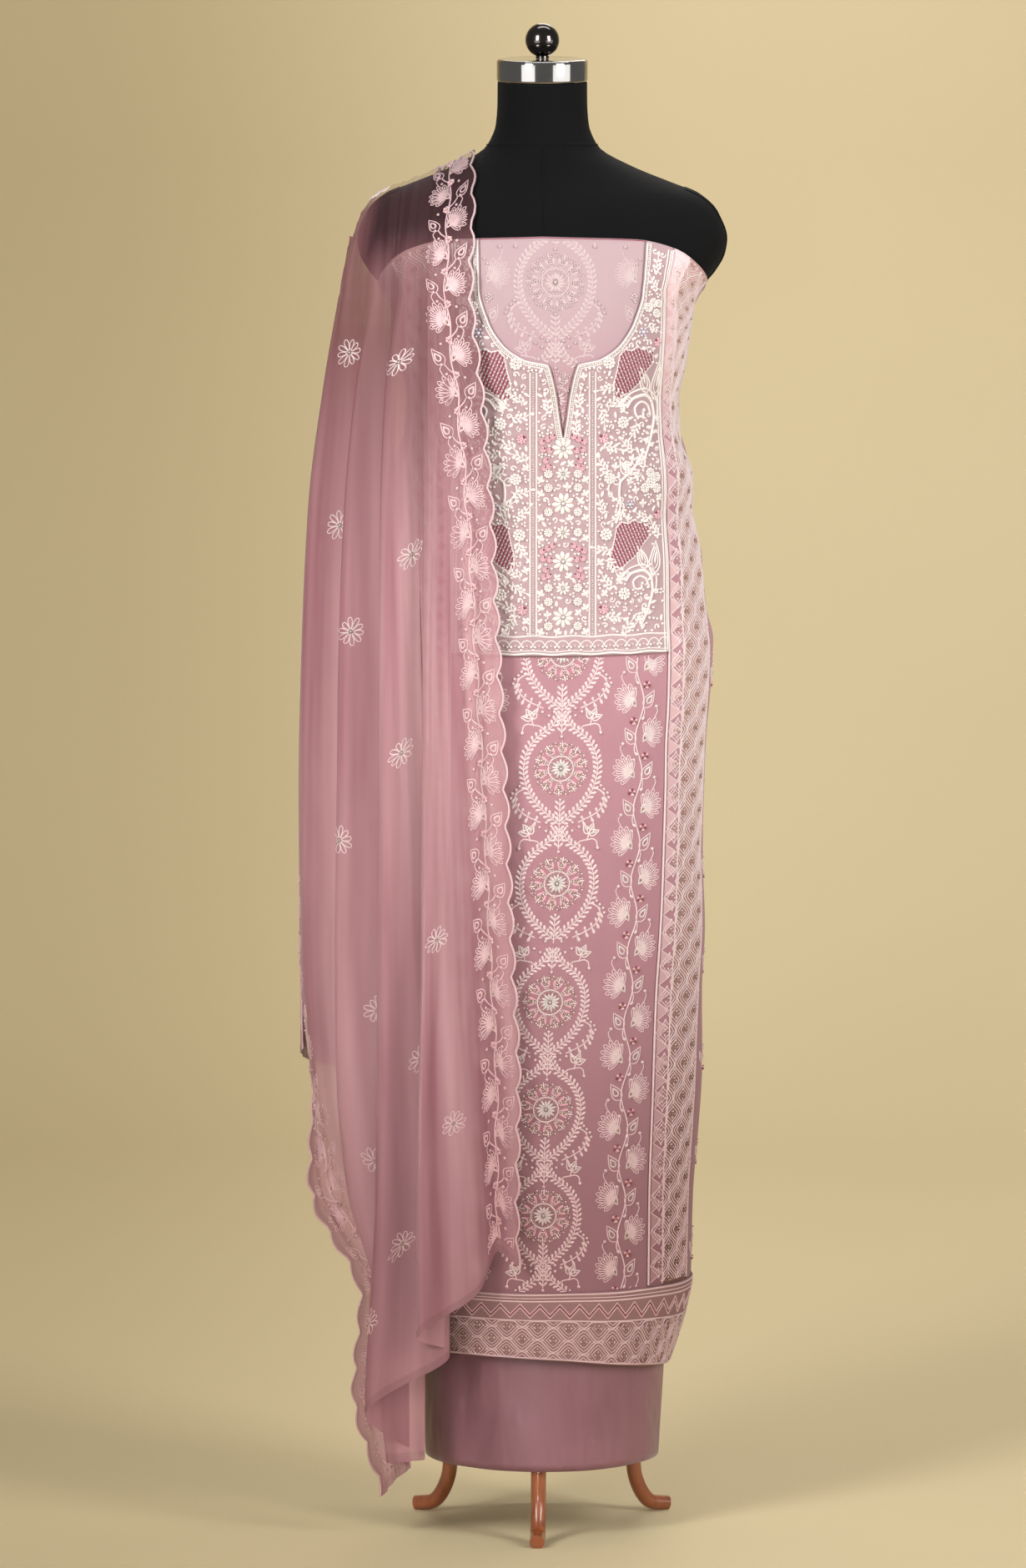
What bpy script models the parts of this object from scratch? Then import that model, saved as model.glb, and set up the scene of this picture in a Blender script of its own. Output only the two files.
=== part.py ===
"""A salwar kameez suit, unstitched, draped on a limbless dress form with a tripod stand.

Units are metres, +Z is up, the floor is z = 0 and the wearer's front faces -Y.
Left and right are the viewer's, so the dupatta hangs on the left, at -X.

Every cloth is an open grid whose points are worked out from rings or fold lines, and then given
its thickness. Rings and fold lines come from short tables, read with smooth_at.
"""

import bisect
import math

import bmesh
import bpy

# ---- driving dimensions -------------------------------------------------------------------

AXIS_X = 0.0314  # the form's axis, set so that the whole suit is centred on x = 0
AXIS_Y = -0.0029  # and on y = 0

PANEL_T = 0.0012  # georgette with its thread work
YOKE_T = 0.0016
TRIM_T = 0.0012
SILK_T = 0.0010
CHIFFON_T = 0.0010
SEAM_GAP = 0.0003
TRIM_LIFT = 0.0003
YOKE_LIFT = 0.0011
KAMEEZ_GAP = 0.0023  # from the form's smooth surface to the inside of the kameez that hugs it
SALWAR_GAP = 0.0010

RING_STEPS = 36
FORM_BOTTOM = 0.7400
SHARP_ABOVE = math.radians(50)  # the form's flat ends meet its side at a sharp edge

# height, half width, depth to the front, depth to the back
FORM_RINGS = (
    (1.5660, 0.0480, 0.0480, 0.0480),
    (1.5430, 0.0482, 0.0482, 0.0482),
    (1.5200, 0.0500, 0.0495, 0.0500),
    (1.5070, 0.0545, 0.0515, 0.0530),
    (1.4950, 0.0620, 0.0540, 0.0580),
    (1.4740, 0.1000, 0.0600, 0.0660),
    (1.4590, 0.1370, 0.0680, 0.0740),
    (1.4450, 0.1710, 0.0770, 0.0820),
    (1.4280, 0.1880, 0.0860, 0.0900),
    (1.3990, 0.1980, 0.0960, 0.0970),
    (1.3840, 0.1960, 0.1020, 0.1000),
    (1.3640, 0.1860, 0.1080, 0.1020),
    (1.3450, 0.1700, 0.1140, 0.1030),
    (1.3200, 0.1580, 0.1200, 0.1030),
    (1.2700, 0.1500, 0.1260, 0.1000),
    (1.2200, 0.1410, 0.1200, 0.0930),
    (1.1600, 0.1320, 0.1050, 0.0870),
    (1.1100, 0.1280, 0.0960, 0.0870),
    (1.0500, 0.1380, 0.0980, 0.0960),
    (0.9900, 0.1560, 0.1050, 0.1090),
    (0.9600, 0.1630, 0.1080, 0.1140),
    (0.9300, 0.1660, 0.1090, 0.1160),
    (0.9000, 0.1660, 0.1080, 0.1150),
    (0.8200, 0.1600, 0.1030, 0.1080),
    (0.7400, 0.1540, 0.0980, 0.1010),
)

ARM_CAP_TOP = 1.3990  # the widest ring
ARMHOLE_RING = 1.3325  # one more ring where the arm caps end

# the kameez below the place where it hugs the form: the same columns
KAMEEZ_RINGS = (
    (1.2300, 0.1445, 0.1245, 0.0980),
    (1.1950, 0.1475, 0.1240, 0.0980),
    (1.1510, 0.1610, 0.1225, 0.0990),
    (1.1340, 0.1625, 0.1215, 0.1000),
    (1.1090, 0.1590, 0.1210, 0.1010),
    (1.0540, 0.1715, 0.1220, 0.1090),
    (1.0000, 0.1755, 0.1240, 0.1180),
    (0.9600, 0.1830, 0.1260, 0.1250),
    (0.9300, 0.1820, 0.1270, 0.1280),
    (0.8500, 0.1760, 0.1280, 0.1290),
    (0.7430, 0.1735, 0.1280, 0.1280),
    (0.6550, 0.1755, 0.1285, 0.1280),
    (0.5910, 0.1720, 0.1290, 0.1280),
    (0.5000, 0.1705, 0.1300, 0.1290),
    (0.4380, 0.1665, 0.1310, 0.1300),
    (0.3650, 0.1615, 0.1320, 0.1300),
    (0.2730, 0.1600, 0.1340, 0.1300),
    (0.2350, 0.1530, 0.1350, 0.1290),
    (0.2080, 0.1450, 0.1350, 0.1280),
    (0.1750, 0.1340, 0.1340, 0.1270),
)
HUG_ENDS = 1.2600  # above this the kameez keeps to the form
LOOSE_FROM = 1.2100  # below this it follows its own rings

SALWAR_RINGS = (
    (0.8600, 0.1650, 0.1085, 0.1140),
    (0.7800, 0.1620, 0.1120, 0.1130),
    (0.6000, 0.1530, 0.1150, 0.1150),
    (0.4000, 0.1430, 0.1190, 0.1180),
    (0.2400, 0.1350, 0.1220, 0.1200),
    (0.1700, 0.1310, 0.1240, 0.1210),
    (0.0780, 0.1255, 0.1250, 0.1230),
)
SALWAR_HUG_ENDS = 0.8900  # above this the salwar cloth keeps to the form
SALWAR_LOOSE_FROM = 0.8300
SALWAR_LEVELS = (0.9600, 0.9300, 0.9000, 0.8200, 0.7000, 0.5600, 0.4200, 0.2900, 0.1800, 0.0780)

# angle round the form from the front, height of the kameez's upper edge there
TOP_EDGE = (
    (0.0, 1.4080),
    (30.0, 1.4040),
    (45.0, 1.3930),
    (57.0, 1.3760),
    (68.0, 1.3620),
    (80.0, 1.3500),
    (95.0, 1.3400),
    (120.0, 1.3360),
    (180.0, 1.3340),
)
FLAT_BELOW_EDGE = 1.3000  # from here down the cloth's rows are level
EDGE_ROWS = (0.0, 0.2, 0.4, 0.6, 0.8)
FRONT_LEVELS = (
    1.3000, 1.2740, 1.2450, 1.2200, 1.1950, 1.1650, 1.1380, 1.1080, 1.0580, 1.0050,
    0.9620, 0.9000, 0.8200, 0.7300, 0.6400, 0.5500, 0.4600, 0.3800, 0.3200, 0.2750,
)
BACK_LEVELS = (
    1.3000, 1.2500, 1.2050, 1.1600, 1.1050, 1.0400, 0.9600, 0.8700, 0.7600, 0.6500,
    0.5300, 0.4200, 0.3300, 0.2750,
)
HEM_MIDDLE = 0.2020
HEM_TILT = 0.0100  # the hem falls by this towards the viewer's right
HEM_SIDE_DROP = 0.0120

# height, how far the front panel's own centre line lies to the right of the form's
CENTRE_LINE = (
    (1.4100, 0.0216),
    (0.9600, 0.0215),
    (0.8400, 0.0195),
    (0.7200, 0.0155),
    (0.6000, 0.0085),
    (0.4800, 0.0040),
    (0.3700, 0.0012),
    (0.2000, 0.0000),
)

# distances across the front panel from its centre line
YOKE_HALF = 0.1195
BORDER_INNER = 0.1205
BORDER_OUTER = 0.1920
PANEL_LINES = (0.0, 0.0305, 0.0610, 0.0915, 0.1200, 0.1430, 0.1675, 0.1920)
SIDE_ANGLE = 99.0  # where the front panel's side edges lie
SIDE_LINES = (0.36, 0.70, 1.0)  # shares of the way from the border to the side edge
SIDE_SEAM_R = 0.1300  # about how far the side edges lie from the form's axis
BACK_COLUMNS = 16

# height, half width of the neck opening in the yoke
NECK_SHAPE = (
    (1.4080, 0.0890),
    (1.3560, 0.0885),
    (1.3210, 0.0790),
    (1.2960, 0.0635),
    (1.2800, 0.0400),
    (1.2740, 0.0150),
    (1.1950, 0.0000),
)
YOKE_LEVELS = (
    1.3830, 1.3580, 1.3340, 1.3190, 1.3090, 1.3000, 1.2930, 1.2860, 1.2810, 1.2770,
    1.2740, 1.2450, 1.2200, 1.1950, 1.1650, 1.1380, 1.1080, 1.0580, 1.0050, 0.9620,
)
YOKE_COLUMNS = 5

# soft folds pressed into the kameez: angle, height, spread in angle, spread in height, depth
KAMEEZ_FOLDS = (
    (84.0, 1.180, 9.0, 0.050, -0.0045),
    (70.0, 1.050, 8.0, 0.060, -0.0030),
    (93.0, 0.740, 6.0, 0.160, -0.0040),
    (82.0, 0.460, 7.0, 0.140, 0.0030),
    (-82.0, 1.160, 9.0, 0.050, -0.0045),
    (-92.0, 0.700, 7.0, 0.160, -0.0040),
    (-78.0, 0.420, 8.0, 0.150, 0.0035),
    (135.0, 0.620, 9.0, 0.260, -0.0060),
    (158.0, 0.520, 8.0, 0.240, 0.0050),
    (182.0, 0.600, 9.0, 0.280, -0.0060),
    (206.0, 0.500, 8.0, 0.220, 0.0045),
    (230.0, 0.640, 9.0, 0.260, -0.0055),
)
# the same for the salwar cloth
SALWAR_FOLDS = (
    (-38.0, 0.200, 9.0, 0.160, -0.0030),
    (22.0, 0.150, 8.0, 0.120, 0.0022),
    (55.0, 0.200, 9.0, 0.150, -0.0030),
    (118.0, 0.240, 10.0, 0.200, -0.0050),
    (165.0, 0.220, 10.0, 0.200, 0.0045),
    (212.0, 0.240, 10.0, 0.200, -0.0050),
)

# ---- dupatta --------------------------------------------------------------------------------

FALL_LEVELS = (1.340, 1.240, 1.110, 0.950, 0.800, 0.630, 0.500, 0.380, 0.260, 0.160, 0.050)

# One row a fold line, from the scalloped edge at the front to the other scalloped edge: its
# place across the cloth, its place on the shoulder, the height of its hem, and then its x at
# each of FALL_LEVELS, all from the form's axis.
FRONT_FALL_X = (
    # across  shoulder  hem    x at each level
    (0.000, -0.0745, 0.309, (-0.079, -0.067, -0.056, -0.048, -0.040, -0.033, -0.027, -0.028,
                             -0.026, -0.026, -0.026)),
    (0.050, -0.0860, 0.322, (-0.094, -0.084, -0.075, -0.070, -0.064, -0.059, -0.053, -0.050,
                             -0.046, -0.046, -0.046)),
    (0.110, -0.0980, 0.283, (-0.108, -0.103, -0.097, -0.094, -0.090, -0.086, -0.080, -0.072,
                             -0.066, -0.066, -0.066)),
    (0.220, -0.1140, 0.231, (-0.124, -0.124, -0.124, -0.126, -0.127, -0.128, -0.131, -0.133,
                             -0.133, -0.132, -0.132)),
    (0.290, -0.1260, 0.211, (-0.134, -0.133, -0.130, -0.126, -0.120, -0.112, -0.104, -0.098,
                             -0.096, -0.096, -0.096)),
    (0.420, -0.1420, 0.142, (-0.155, -0.168, -0.173, -0.174, -0.174, -0.176, -0.177, -0.178,
                             -0.184, -0.189, -0.189)),
    (0.520, -0.1560, 0.092, (-0.160, -0.160, -0.152, -0.146, -0.140, -0.134, -0.128, -0.125,
                             -0.124, -0.124, -0.124)),
    (0.630, -0.1700, 0.085, (-0.182, -0.200, -0.212, -0.218, -0.220, -0.222, -0.220, -0.208,
                             -0.176, -0.172, -0.160)),
    (0.720, -0.1820, 0.078, (-0.192, -0.190, -0.184, -0.182, -0.180, -0.180, -0.178, -0.172,
                             -0.150, -0.146, -0.140)),
    (0.900, -0.1960, 0.062, (-0.217, -0.234, -0.250, -0.257, -0.260, -0.260, -0.248, -0.226,
                             -0.168, -0.176, -0.156)),
    (1.000, -0.2030, 0.046, (-0.212, -0.224, -0.236, -0.242, -0.244, -0.244, -0.241, -0.244,
                             -0.190, -0.197, -0.166)),
)
FRONT_FALL_Y = (
    (-0.123, -0.137, -0.140, -0.142, -0.143, -0.144, -0.146, -0.148, -0.150, -0.150, -0.150),
    (-0.119, -0.132, -0.135, -0.136, -0.136, -0.137, -0.138, -0.139, -0.141, -0.142, -0.142),
    (-0.120, -0.137, -0.142, -0.145, -0.147, -0.149, -0.152, -0.155, -0.158, -0.158, -0.158),
    (-0.116, -0.133, -0.142, -0.148, -0.152, -0.156, -0.160, -0.164, -0.166, -0.166, -0.166),
    (-0.108, -0.121, -0.128, -0.132, -0.135, -0.138, -0.141, -0.143, -0.145, -0.145, -0.145),
    (-0.101, -0.112, -0.121, -0.125, -0.127, -0.128, -0.130, -0.132, -0.134, -0.135, -0.136),
    (-0.088, -0.094, -0.101, -0.106, -0.109, -0.111, -0.114, -0.117, -0.120, -0.121, -0.122),
    (-0.078, -0.080, -0.085, -0.088, -0.091, -0.094, -0.097, -0.102, -0.108, -0.110, -0.111),
    (-0.063, -0.062, -0.065, -0.067, -0.069, -0.071, -0.074, -0.082, -0.095, -0.097, -0.098),
    (-0.030, -0.022, -0.018, -0.016, -0.018, -0.022, -0.036, -0.060, -0.083, -0.086, -0.088),
    (0.000, 0.012, 0.020, 0.024, 0.022, 0.014, -0.008, -0.040, -0.070, -0.072, -0.078),
)
FRONT_LENGTH_ROWS = 15

BACK_FALL_LEVELS = (1.340, 1.200, 1.000, 0.800, 0.600, 0.400)
BACK_FALL_X = (
    (0.000, -0.0745, 0.400, (-0.060, -0.052, -0.044, -0.038, -0.034, -0.032)),
    (0.120, -0.0950, 0.410, (-0.082, -0.080, -0.080, -0.082, -0.084, -0.086)),
    (0.250, -0.1150, 0.425, (-0.106, -0.116, -0.126, -0.134, -0.138, -0.140)),
    (0.360, -0.1320, 0.440, (-0.122, -0.116, -0.106, -0.100, -0.096, -0.094)),
    (0.520, -0.1520, 0.455, (-0.150, -0.164, -0.176, -0.186, -0.190, -0.192)),
    (0.640, -0.1680, 0.470, (-0.166, -0.164, -0.158, -0.152, -0.148, -0.146)),
    (0.850, -0.1910, 0.495, (-0.202, -0.224, -0.240, -0.248, -0.252, -0.250)),
    (1.000, -0.2030, 0.510, (-0.214, -0.236, -0.252, -0.257, -0.259, -0.257)),
)
BACK_FALL_Y = (
    (0.112, 0.116, 0.126, 0.138, 0.140, 0.142),
    (0.110, 0.124, 0.140, 0.152, 0.156, 0.158),
    (0.106, 0.128, 0.150, 0.164, 0.170, 0.172),
    (0.096, 0.110, 0.128, 0.142, 0.147, 0.148),
    (0.086, 0.100, 0.116, 0.130, 0.135, 0.136),
    (0.070, 0.080, 0.094, 0.106, 0.112, 0.114),
    (0.044, 0.056, 0.064, 0.072, 0.078, 0.080),
    (0.016, 0.036, 0.046, 0.052, 0.054, 0.054),
)
BACK_LENGTH_ROWS = 10
COLUMNS_A_FOLD = 4
SHOULDER_ROWS = 5  # on each side of the shoulder's top
SHOULDER_COLUMNS = 18
SHOULDER_GAP = 0.0040
SHOULDER_END = 0.1979  # the shoulder's top is followed out to this x
CLOTH_UNDER = 0.0050  # what the kameez and its yoke add below the dupatta
UNDER_FROM = 1.4400  # the height from which that lift grows, down to UNDER_FULL
UNDER_FULL = 1.4050
DROP_CURVE = 1.7  # how the cloth on the shoulder first falls slowly and then steeply
SWAY_END = 1.15  # its lines turn towards the hanging lines and reach them past the shoulder
REACH_CURVE = 0.8  # how soon it swings out from the shoulder's top
STEEP_OUT = (0.17, 0.20)  # between these x the lift turns from upward to outward
STEEP_LEAST = 0.4
LIFT_SUM = 1.25  # what the outward and the upward share of that lift add up to
ROW_CROWDING = 1.15  # above 1, the rows of a fall lie closer near the shoulder
ON_SHOULDER = 0.09  # the share of each fall, from the shoulder's top, that lies on the shoulder
SHOULDER_SHARE = 0.62  # of that, where the shoulder's own piece ends
SHOULDER_PARTING = 0.0009  # the share of a fall between the shoulder's piece and the rest
SCALLOP = 0.040  # length of one scallop along the edge
SCALLOP_DEPTH = 0.0060

# ---- stand ----------------------------------------------------------------------------------

CAP_R = 0.0488
CAP_BOTTOM = 1.5663
CAP_TOP = 1.5910
CAP_ROUND = 0.0035
KNOB_R = 0.0182
KNOB_STEM_R = 0.0070
KNOB_STEM = 0.0030
POLE_R = 0.0160
HUB_TOP = 0.1750
HUB_BOTTOM = 0.1150
HUB_R = 0.0300
HUB_EDGE = 0.0040
HUB_SHOULDER = 0.0100
HUB_STEPS = 24
HUB_NECK = 0.72  # the hub's top, as a share of its radius
LEG_R = 0.0082
LEG_ANGLES = {"front": -92.0, "left": 151.0, "right": 29.0}
# distance from the pole's axis, height: the middle line of a leg
LEG_LINE = (
    (0.0305, 0.1450),
    (0.0600, 0.1430),
    (0.0880, 0.1300),
    (0.1060, 0.1050),
    (0.1130, 0.0750),
    (0.1150, 0.0480),
    (0.1230, 0.0250),
    (0.1370, 0.0102),
    (0.1570, 0.0068),
)
LEG_POINTS = 20
FLOOR_CUT = 0.1000  # depth of the block below z = 0 that cuts the feet off level
WELD = 1e-5  # points closer than this are one
ROUND_STEPS = 4  # points on a rounded edge


# ---- reading the tables ---------------------------------------------------------------------


def slopes(xs, ys):
    """Slopes through the points that never overshoot them."""
    steps = [(ys[i + 1] - ys[i]) / (xs[i + 1] - xs[i]) for i in range(len(xs) - 1)]
    inner = [
        0.0 if before * after <= 0 else 2 * before * after / (before + after)
        for before, after in zip(steps, steps[1:])
    ]
    return [steps[0], *inner, steps[-1]]


def smooth_at(xs, ys, x):
    """The height at x of a smooth curve through rising xs and their ys."""
    if x <= xs[0]:
        return ys[0]
    if x >= xs[-1]:
        return ys[-1]
    i = bisect.bisect_right(xs, x) - 1
    slope = slopes(xs, ys)
    width = xs[i + 1] - xs[i]
    t = (x - xs[i]) / width
    start = (1 + 2 * t) * (1 - t) ** 2 * ys[i] + t * (1 - t) ** 2 * width * slope[i]
    end = t * t * (3 - 2 * t) * ys[i + 1] + t * t * (t - 1) * width * slope[i + 1]
    return start + end


def column(table, index):
    """One column of a table, with its rows sorted by their first number."""
    return [row[index] for row in sorted(table)]


def table_at(table, key, index):
    return smooth_at(column(table, 0), column(table, index), key)


def ease(start, end, x):
    """0 before start, 1 after end and a smooth rise between."""
    t = min(max((x - start) / (end - start), 0.0), 1.0)
    return t * t * (3 - 2 * t)


# ---- rings ----------------------------------------------------------------------------------


def form_ring(z):
    return tuple(table_at(FORM_RINGS, z, index) for index in (1, 2, 3))


def kameez_ring(z):
    hug = [size + KAMEEZ_GAP for size in form_ring(z)]
    if z >= HUG_ENDS:
        return tuple(hug)
    loose = [table_at(KAMEEZ_RINGS, z, index) for index in (1, 2, 3)]
    share = ease(LOOSE_FROM, HUG_ENDS, z)
    return tuple(share * a + (1 - share) * b for a, b in zip(hug, loose))


def salwar_ring(z):
    hug = [size + SALWAR_GAP for size in form_ring(z)]
    loose = [table_at(SALWAR_RINGS, z, index) for index in (1, 2, 3)]
    share = ease(SALWAR_LOOSE_FROM, SALWAR_HUG_ENDS, z)
    return tuple(share * a + (1 - share) * b for a, b in zip(hug, loose))


def folds_at(folds, angle, z):
    """How far the folds move the cloth out at this angle and height."""
    moved = 0.0
    for centre, height, spread, tall, depth in folds:
        turn = (angle - centre + 180.0) % 360.0 - 180.0
        moved += depth * math.exp(-((turn / spread) ** 2) - ((z - height) / tall) ** 2)
    return moved


def on_ring(ring, angle, z, lift=0.0):
    """The point at this angle, 0 at the front and 90 at the viewer's right, moved out by lift."""
    half, front, back = ring
    turn = math.radians(angle)
    depth = front if math.cos(turn) > 0 else back
    out_x, out_y = math.sin(turn) / half, -math.cos(turn) / depth
    length = math.hypot(out_x, out_y)
    x = half * math.sin(turn) + lift * out_x / length
    y = -depth * math.cos(turn) + lift * out_y / length
    return (AXIS_X + x, AXIS_Y + y, z)


def arc_table(ring):
    """Distances along the ring from its front, for each degree from -120 to 120."""
    half, front, back = ring
    angles = list(range(-120, 121))
    run = [0.0]
    for angle in angles[:-1]:
        turn = math.radians(angle + 0.5)
        depth = front if math.cos(turn) > 0 else back
        run.append(run[-1] + math.radians(1) * math.hypot(half * math.cos(turn),
                                                          depth * math.sin(turn)))
    middle = run[120]
    return angles, [distance - middle for distance in run]


def angle_across(ring, centre, across):
    """The angle of a point at the distance across from the panel's centre line."""
    angles, run = arc_table(ring)
    start = math.degrees(math.asin(centre / ring[0]))
    here = smooth_at(angles, run, start)
    place = min(max(here + across, run[0]), run[-1])
    i = min(bisect.bisect_right(run, place) - 1, len(run) - 2)
    return angles[i] + (place - run[i]) / (run[i + 1] - run[i])


def side_across(ring, centre, side):
    """The distance across at which the panel's side edge lies."""
    angles, run = arc_table(ring)
    start = math.degrees(math.asin(centre / ring[0]))
    return smooth_at(angles, run, side * SIDE_ANGLE) - smooth_at(angles, run, start)


# ---- making objects --------------------------------------------------------------------------


def clear_scene():
    for obj in list(bpy.data.objects):
        bpy.data.objects.remove(obj, do_unlink=True)


def new_collection(name):
    collection = bpy.data.collections.new(name)
    bpy.context.scene.collection.children.link(collection)
    return collection


def make_material(name, colour, roughness, metallic=0.0):
    material = bpy.data.materials.new(name)
    material.use_nodes = True
    shader = material.node_tree.nodes["Principled BSDF"]
    shader.inputs["Base Color"].default_value = (*colour, 1.0)
    shader.inputs["Roughness"].default_value = roughness
    shader.inputs["Metallic"].default_value = metallic
    return material


def add_object(collection, name, mesh_or_curve, material):
    obj = bpy.data.objects.new(name, mesh_or_curve)
    obj.data.materials.append(material)
    collection.objects.link(obj)
    return obj


def mesh_from(bm, name, smooth=True):
    bmesh.ops.recalc_face_normals(bm, faces=bm.faces)
    mesh = bpy.data.meshes.new(name)
    bm.to_mesh(mesh)
    bm.free()
    if smooth:
        mesh.shade_smooth()
    return mesh


def grid(rows, columns, place):
    """A grid of quads with place(row, column) for its corners, and the corners by row."""
    bm = bmesh.new()
    bmesh.ops.create_grid(bm, x_segments=columns, y_segments=rows, size=1.0)
    bm.verts.ensure_lookup_table()
    by_row = []
    for row in range(rows + 1):
        first = row * (columns + 1)
        by_row.append([bm.verts[first + col] for col in range(columns + 1)])
    for row, verts in enumerate(by_row):
        for col, vert in enumerate(verts):
            vert.co = place(row, col)
    return bm, by_row


def thicken(obj, thickness, offset):
    """Gives an open cloth its wall. An offset of 1 adds it outside, 0 on both sides."""
    wall = obj.modifiers.new("wall", "SOLIDIFY")
    wall.thickness = thickness
    wall.offset = offset
    wall.use_even_offset = False
    wall.use_quality_normals = True
    return obj


def facing(mesh, inside):
    """Turns an open cloth's faces away from the point inside it."""
    face = max(mesh.polygons, key=lambda each: each.area)
    if face.normal.dot(face.center - inside(face.center)) < 0:
        mesh.flip_normals()


def axis_point(centre):
    point = centre.copy()
    point.x, point.y = AXIS_X, AXIS_Y
    return point


# ---- the dress form --------------------------------------------------------------------------


def make_torso(collection, material):
    """One smooth body from the neck to the hip, flat at both ends."""
    levels = sorted([row[0] for row in FORM_RINGS] + [ARMHOLE_RING], reverse=True)

    def place(row, col):
        z = levels[row]
        return on_ring(form_ring(z), 360.0 * col / RING_STEPS, z)

    bm, rows = grid(len(levels) - 1, RING_STEPS, place)
    bmesh.ops.remove_doubles(bm, verts=bm.verts, dist=WELD)
    bmesh.ops.holes_fill(bm, edges=[edge for edge in bm.edges if edge.is_boundary], sides=0)
    mesh = mesh_from(bm, "form_torso")
    mesh.set_sharp_from_angle(angle=SHARP_ABOVE)
    return add_object(collection, "form_torso", mesh, material)


def turned(collection, name, profile, material, steps):
    """A turned solid: the profile runs down its outer side, from the axis back to the axis."""
    mesh = bpy.data.meshes.new(name)
    mesh.from_pydata([(r, 0, z) for r, z in profile],
                     [(i, i + 1) for i in range(len(profile) - 1)], [])
    obj = add_object(collection, name, mesh, material)
    obj.location = (AXIS_X, AXIS_Y, 0)
    screw = obj.modifiers.new("turn", "SCREW")
    screw.steps = steps
    screw.render_steps = steps
    screw.use_merge_vertices = True
    screw.merge_threshold = WELD
    screw.use_smooth_shade = True
    return obj


def arc(centre, radius, start, end, count):
    """Points on an arc in the profile's plane, in degrees from the outward direction."""
    turns = [math.radians(start + (end - start) * i / count) for i in range(count + 1)]
    return [(centre[0] + radius * math.cos(t), centre[1] + radius * math.sin(t)) for t in turns]


def make_cap(collection, material):
    upper = arc((CAP_R - CAP_ROUND, CAP_TOP - CAP_ROUND), CAP_ROUND, 90, 0, ROUND_STEPS)
    lower = arc((CAP_R - CAP_ROUND, CAP_BOTTOM + CAP_ROUND), CAP_ROUND, 0, -90, ROUND_STEPS)
    profile = [(0, CAP_TOP), *upper, *lower, (0, CAP_BOTTOM)]
    return turned(collection, "neck_cap", profile, material, 28)


def make_knob(collection, material):
    seat = CAP_TOP + SEAM_GAP
    reach = math.degrees(math.acos(KNOB_STEM_R / KNOB_R))
    centre = (0, seat + KNOB_STEM + KNOB_R * math.sin(math.radians(reach)))
    ball = arc(centre, KNOB_R, 90, -reach, 10)
    profile = [(0, ball[0][1]), *ball[1:], (KNOB_STEM_R, seat), (0, seat)]
    return turned(collection, "neck_knob", profile, material, 18)


def make_pole(collection, material):
    top, bottom = FORM_BOTTOM - SEAM_GAP, HUB_TOP + SEAM_GAP
    profile = [(0, top), (POLE_R, top), (POLE_R, bottom), (0, bottom)]
    return turned(collection, "stand_pole", profile, material, 20)


def make_hub(collection, material):
    profile = [
        (0, HUB_TOP),
        (HUB_R * HUB_NECK, HUB_TOP),
        (HUB_R, HUB_TOP - HUB_SHOULDER),
        (HUB_R, HUB_BOTTOM + HUB_EDGE),
        (HUB_R - HUB_EDGE, HUB_BOTTOM),
        (0, HUB_BOTTOM),
    ]
    return turned(collection, "stand_hub", profile, material, HUB_STEPS)


def make_leg(collection, cutters, side, material):
    """A cabriole leg: a bent round bar, with its foot cut flat on the floor."""
    runs = [float(i) for i in range(len(LEG_LINE))]
    reaches = [row[0] for row in LEG_LINE]
    heights = [row[1] for row in LEG_LINE]
    turn = math.radians(LEG_ANGLES[side])
    curve = bpy.data.curves.new("leg_" + side, "CURVE")
    curve.dimensions = "3D"
    curve.bevel_depth = LEG_R
    curve.bevel_resolution = 2
    curve.use_fill_caps = True
    line = curve.splines.new("POLY")
    line.points.add(LEG_POINTS)
    for i, point in enumerate(line.points):
        run = runs[-1] * i / LEG_POINTS
        reach = smooth_at(runs, reaches, run)
        x, y = AXIS_X + reach * math.cos(turn), AXIS_Y + reach * math.sin(turn)
        point.co = (x, y, smooth_at(runs, heights, run), 1.0)
    bar = bpy.data.objects.new("bar_" + side, curve)
    collection.objects.link(bar)
    graph = bpy.context.evaluated_depsgraph_get()
    mesh = bpy.data.meshes.new_from_object(bar.evaluated_get(graph))
    bpy.data.objects.remove(bar, do_unlink=True)
    bm = bmesh.new()
    bm.from_mesh(mesh)
    bmesh.ops.remove_doubles(bm, verts=bm.verts, dist=WELD)
    leg_mesh = mesh_from(bm, "stand_leg_" + side)
    leg_mesh.materials.clear()
    leg = add_object(collection, "stand_leg_" + side, leg_mesh, material)
    for name, cutter in (("sole", cutters["floor"]), ("joint", cutters["hub"])):
        cut = leg.modifiers.new(name, "BOOLEAN")
        cut.operation = "DIFFERENCE"
        cut.object = cutter
    return leg


def make_cutters(collection, material):
    """The floor that levels the feet, and the room that the legs leave for the hub."""
    bm = bmesh.new()
    bmesh.ops.create_cube(bm, size=1.0)
    for vert in bm.verts:
        x, y, z = vert.co
        vert.co = (AXIS_X + x, AXIS_Y + y, FLOOR_CUT * (z - 0.5))
    floor = add_object(collection, "cut_floor", mesh_from(bm, "cut_floor", False), material)
    bm = bmesh.new()
    room = HUB_R + SEAM_GAP
    bmesh.ops.create_cone(bm, cap_ends=True, segments=HUB_STEPS, radius1=room, radius2=room,
                          depth=2 * (HUB_TOP - HUB_BOTTOM))
    for vert in bm.verts:
        x, y, z = vert.co
        vert.co = (AXIS_X + x, AXIS_Y + y, (HUB_TOP + HUB_BOTTOM) / 2 + z)
    hub = add_object(collection, "cut_hub", mesh_from(bm, "cut_hub", False), material)
    for cutter in (floor, hub):
        cutter.hide_render = True
        cutter.display_type = "WIRE"
    return {"floor": floor, "hub": hub}


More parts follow.
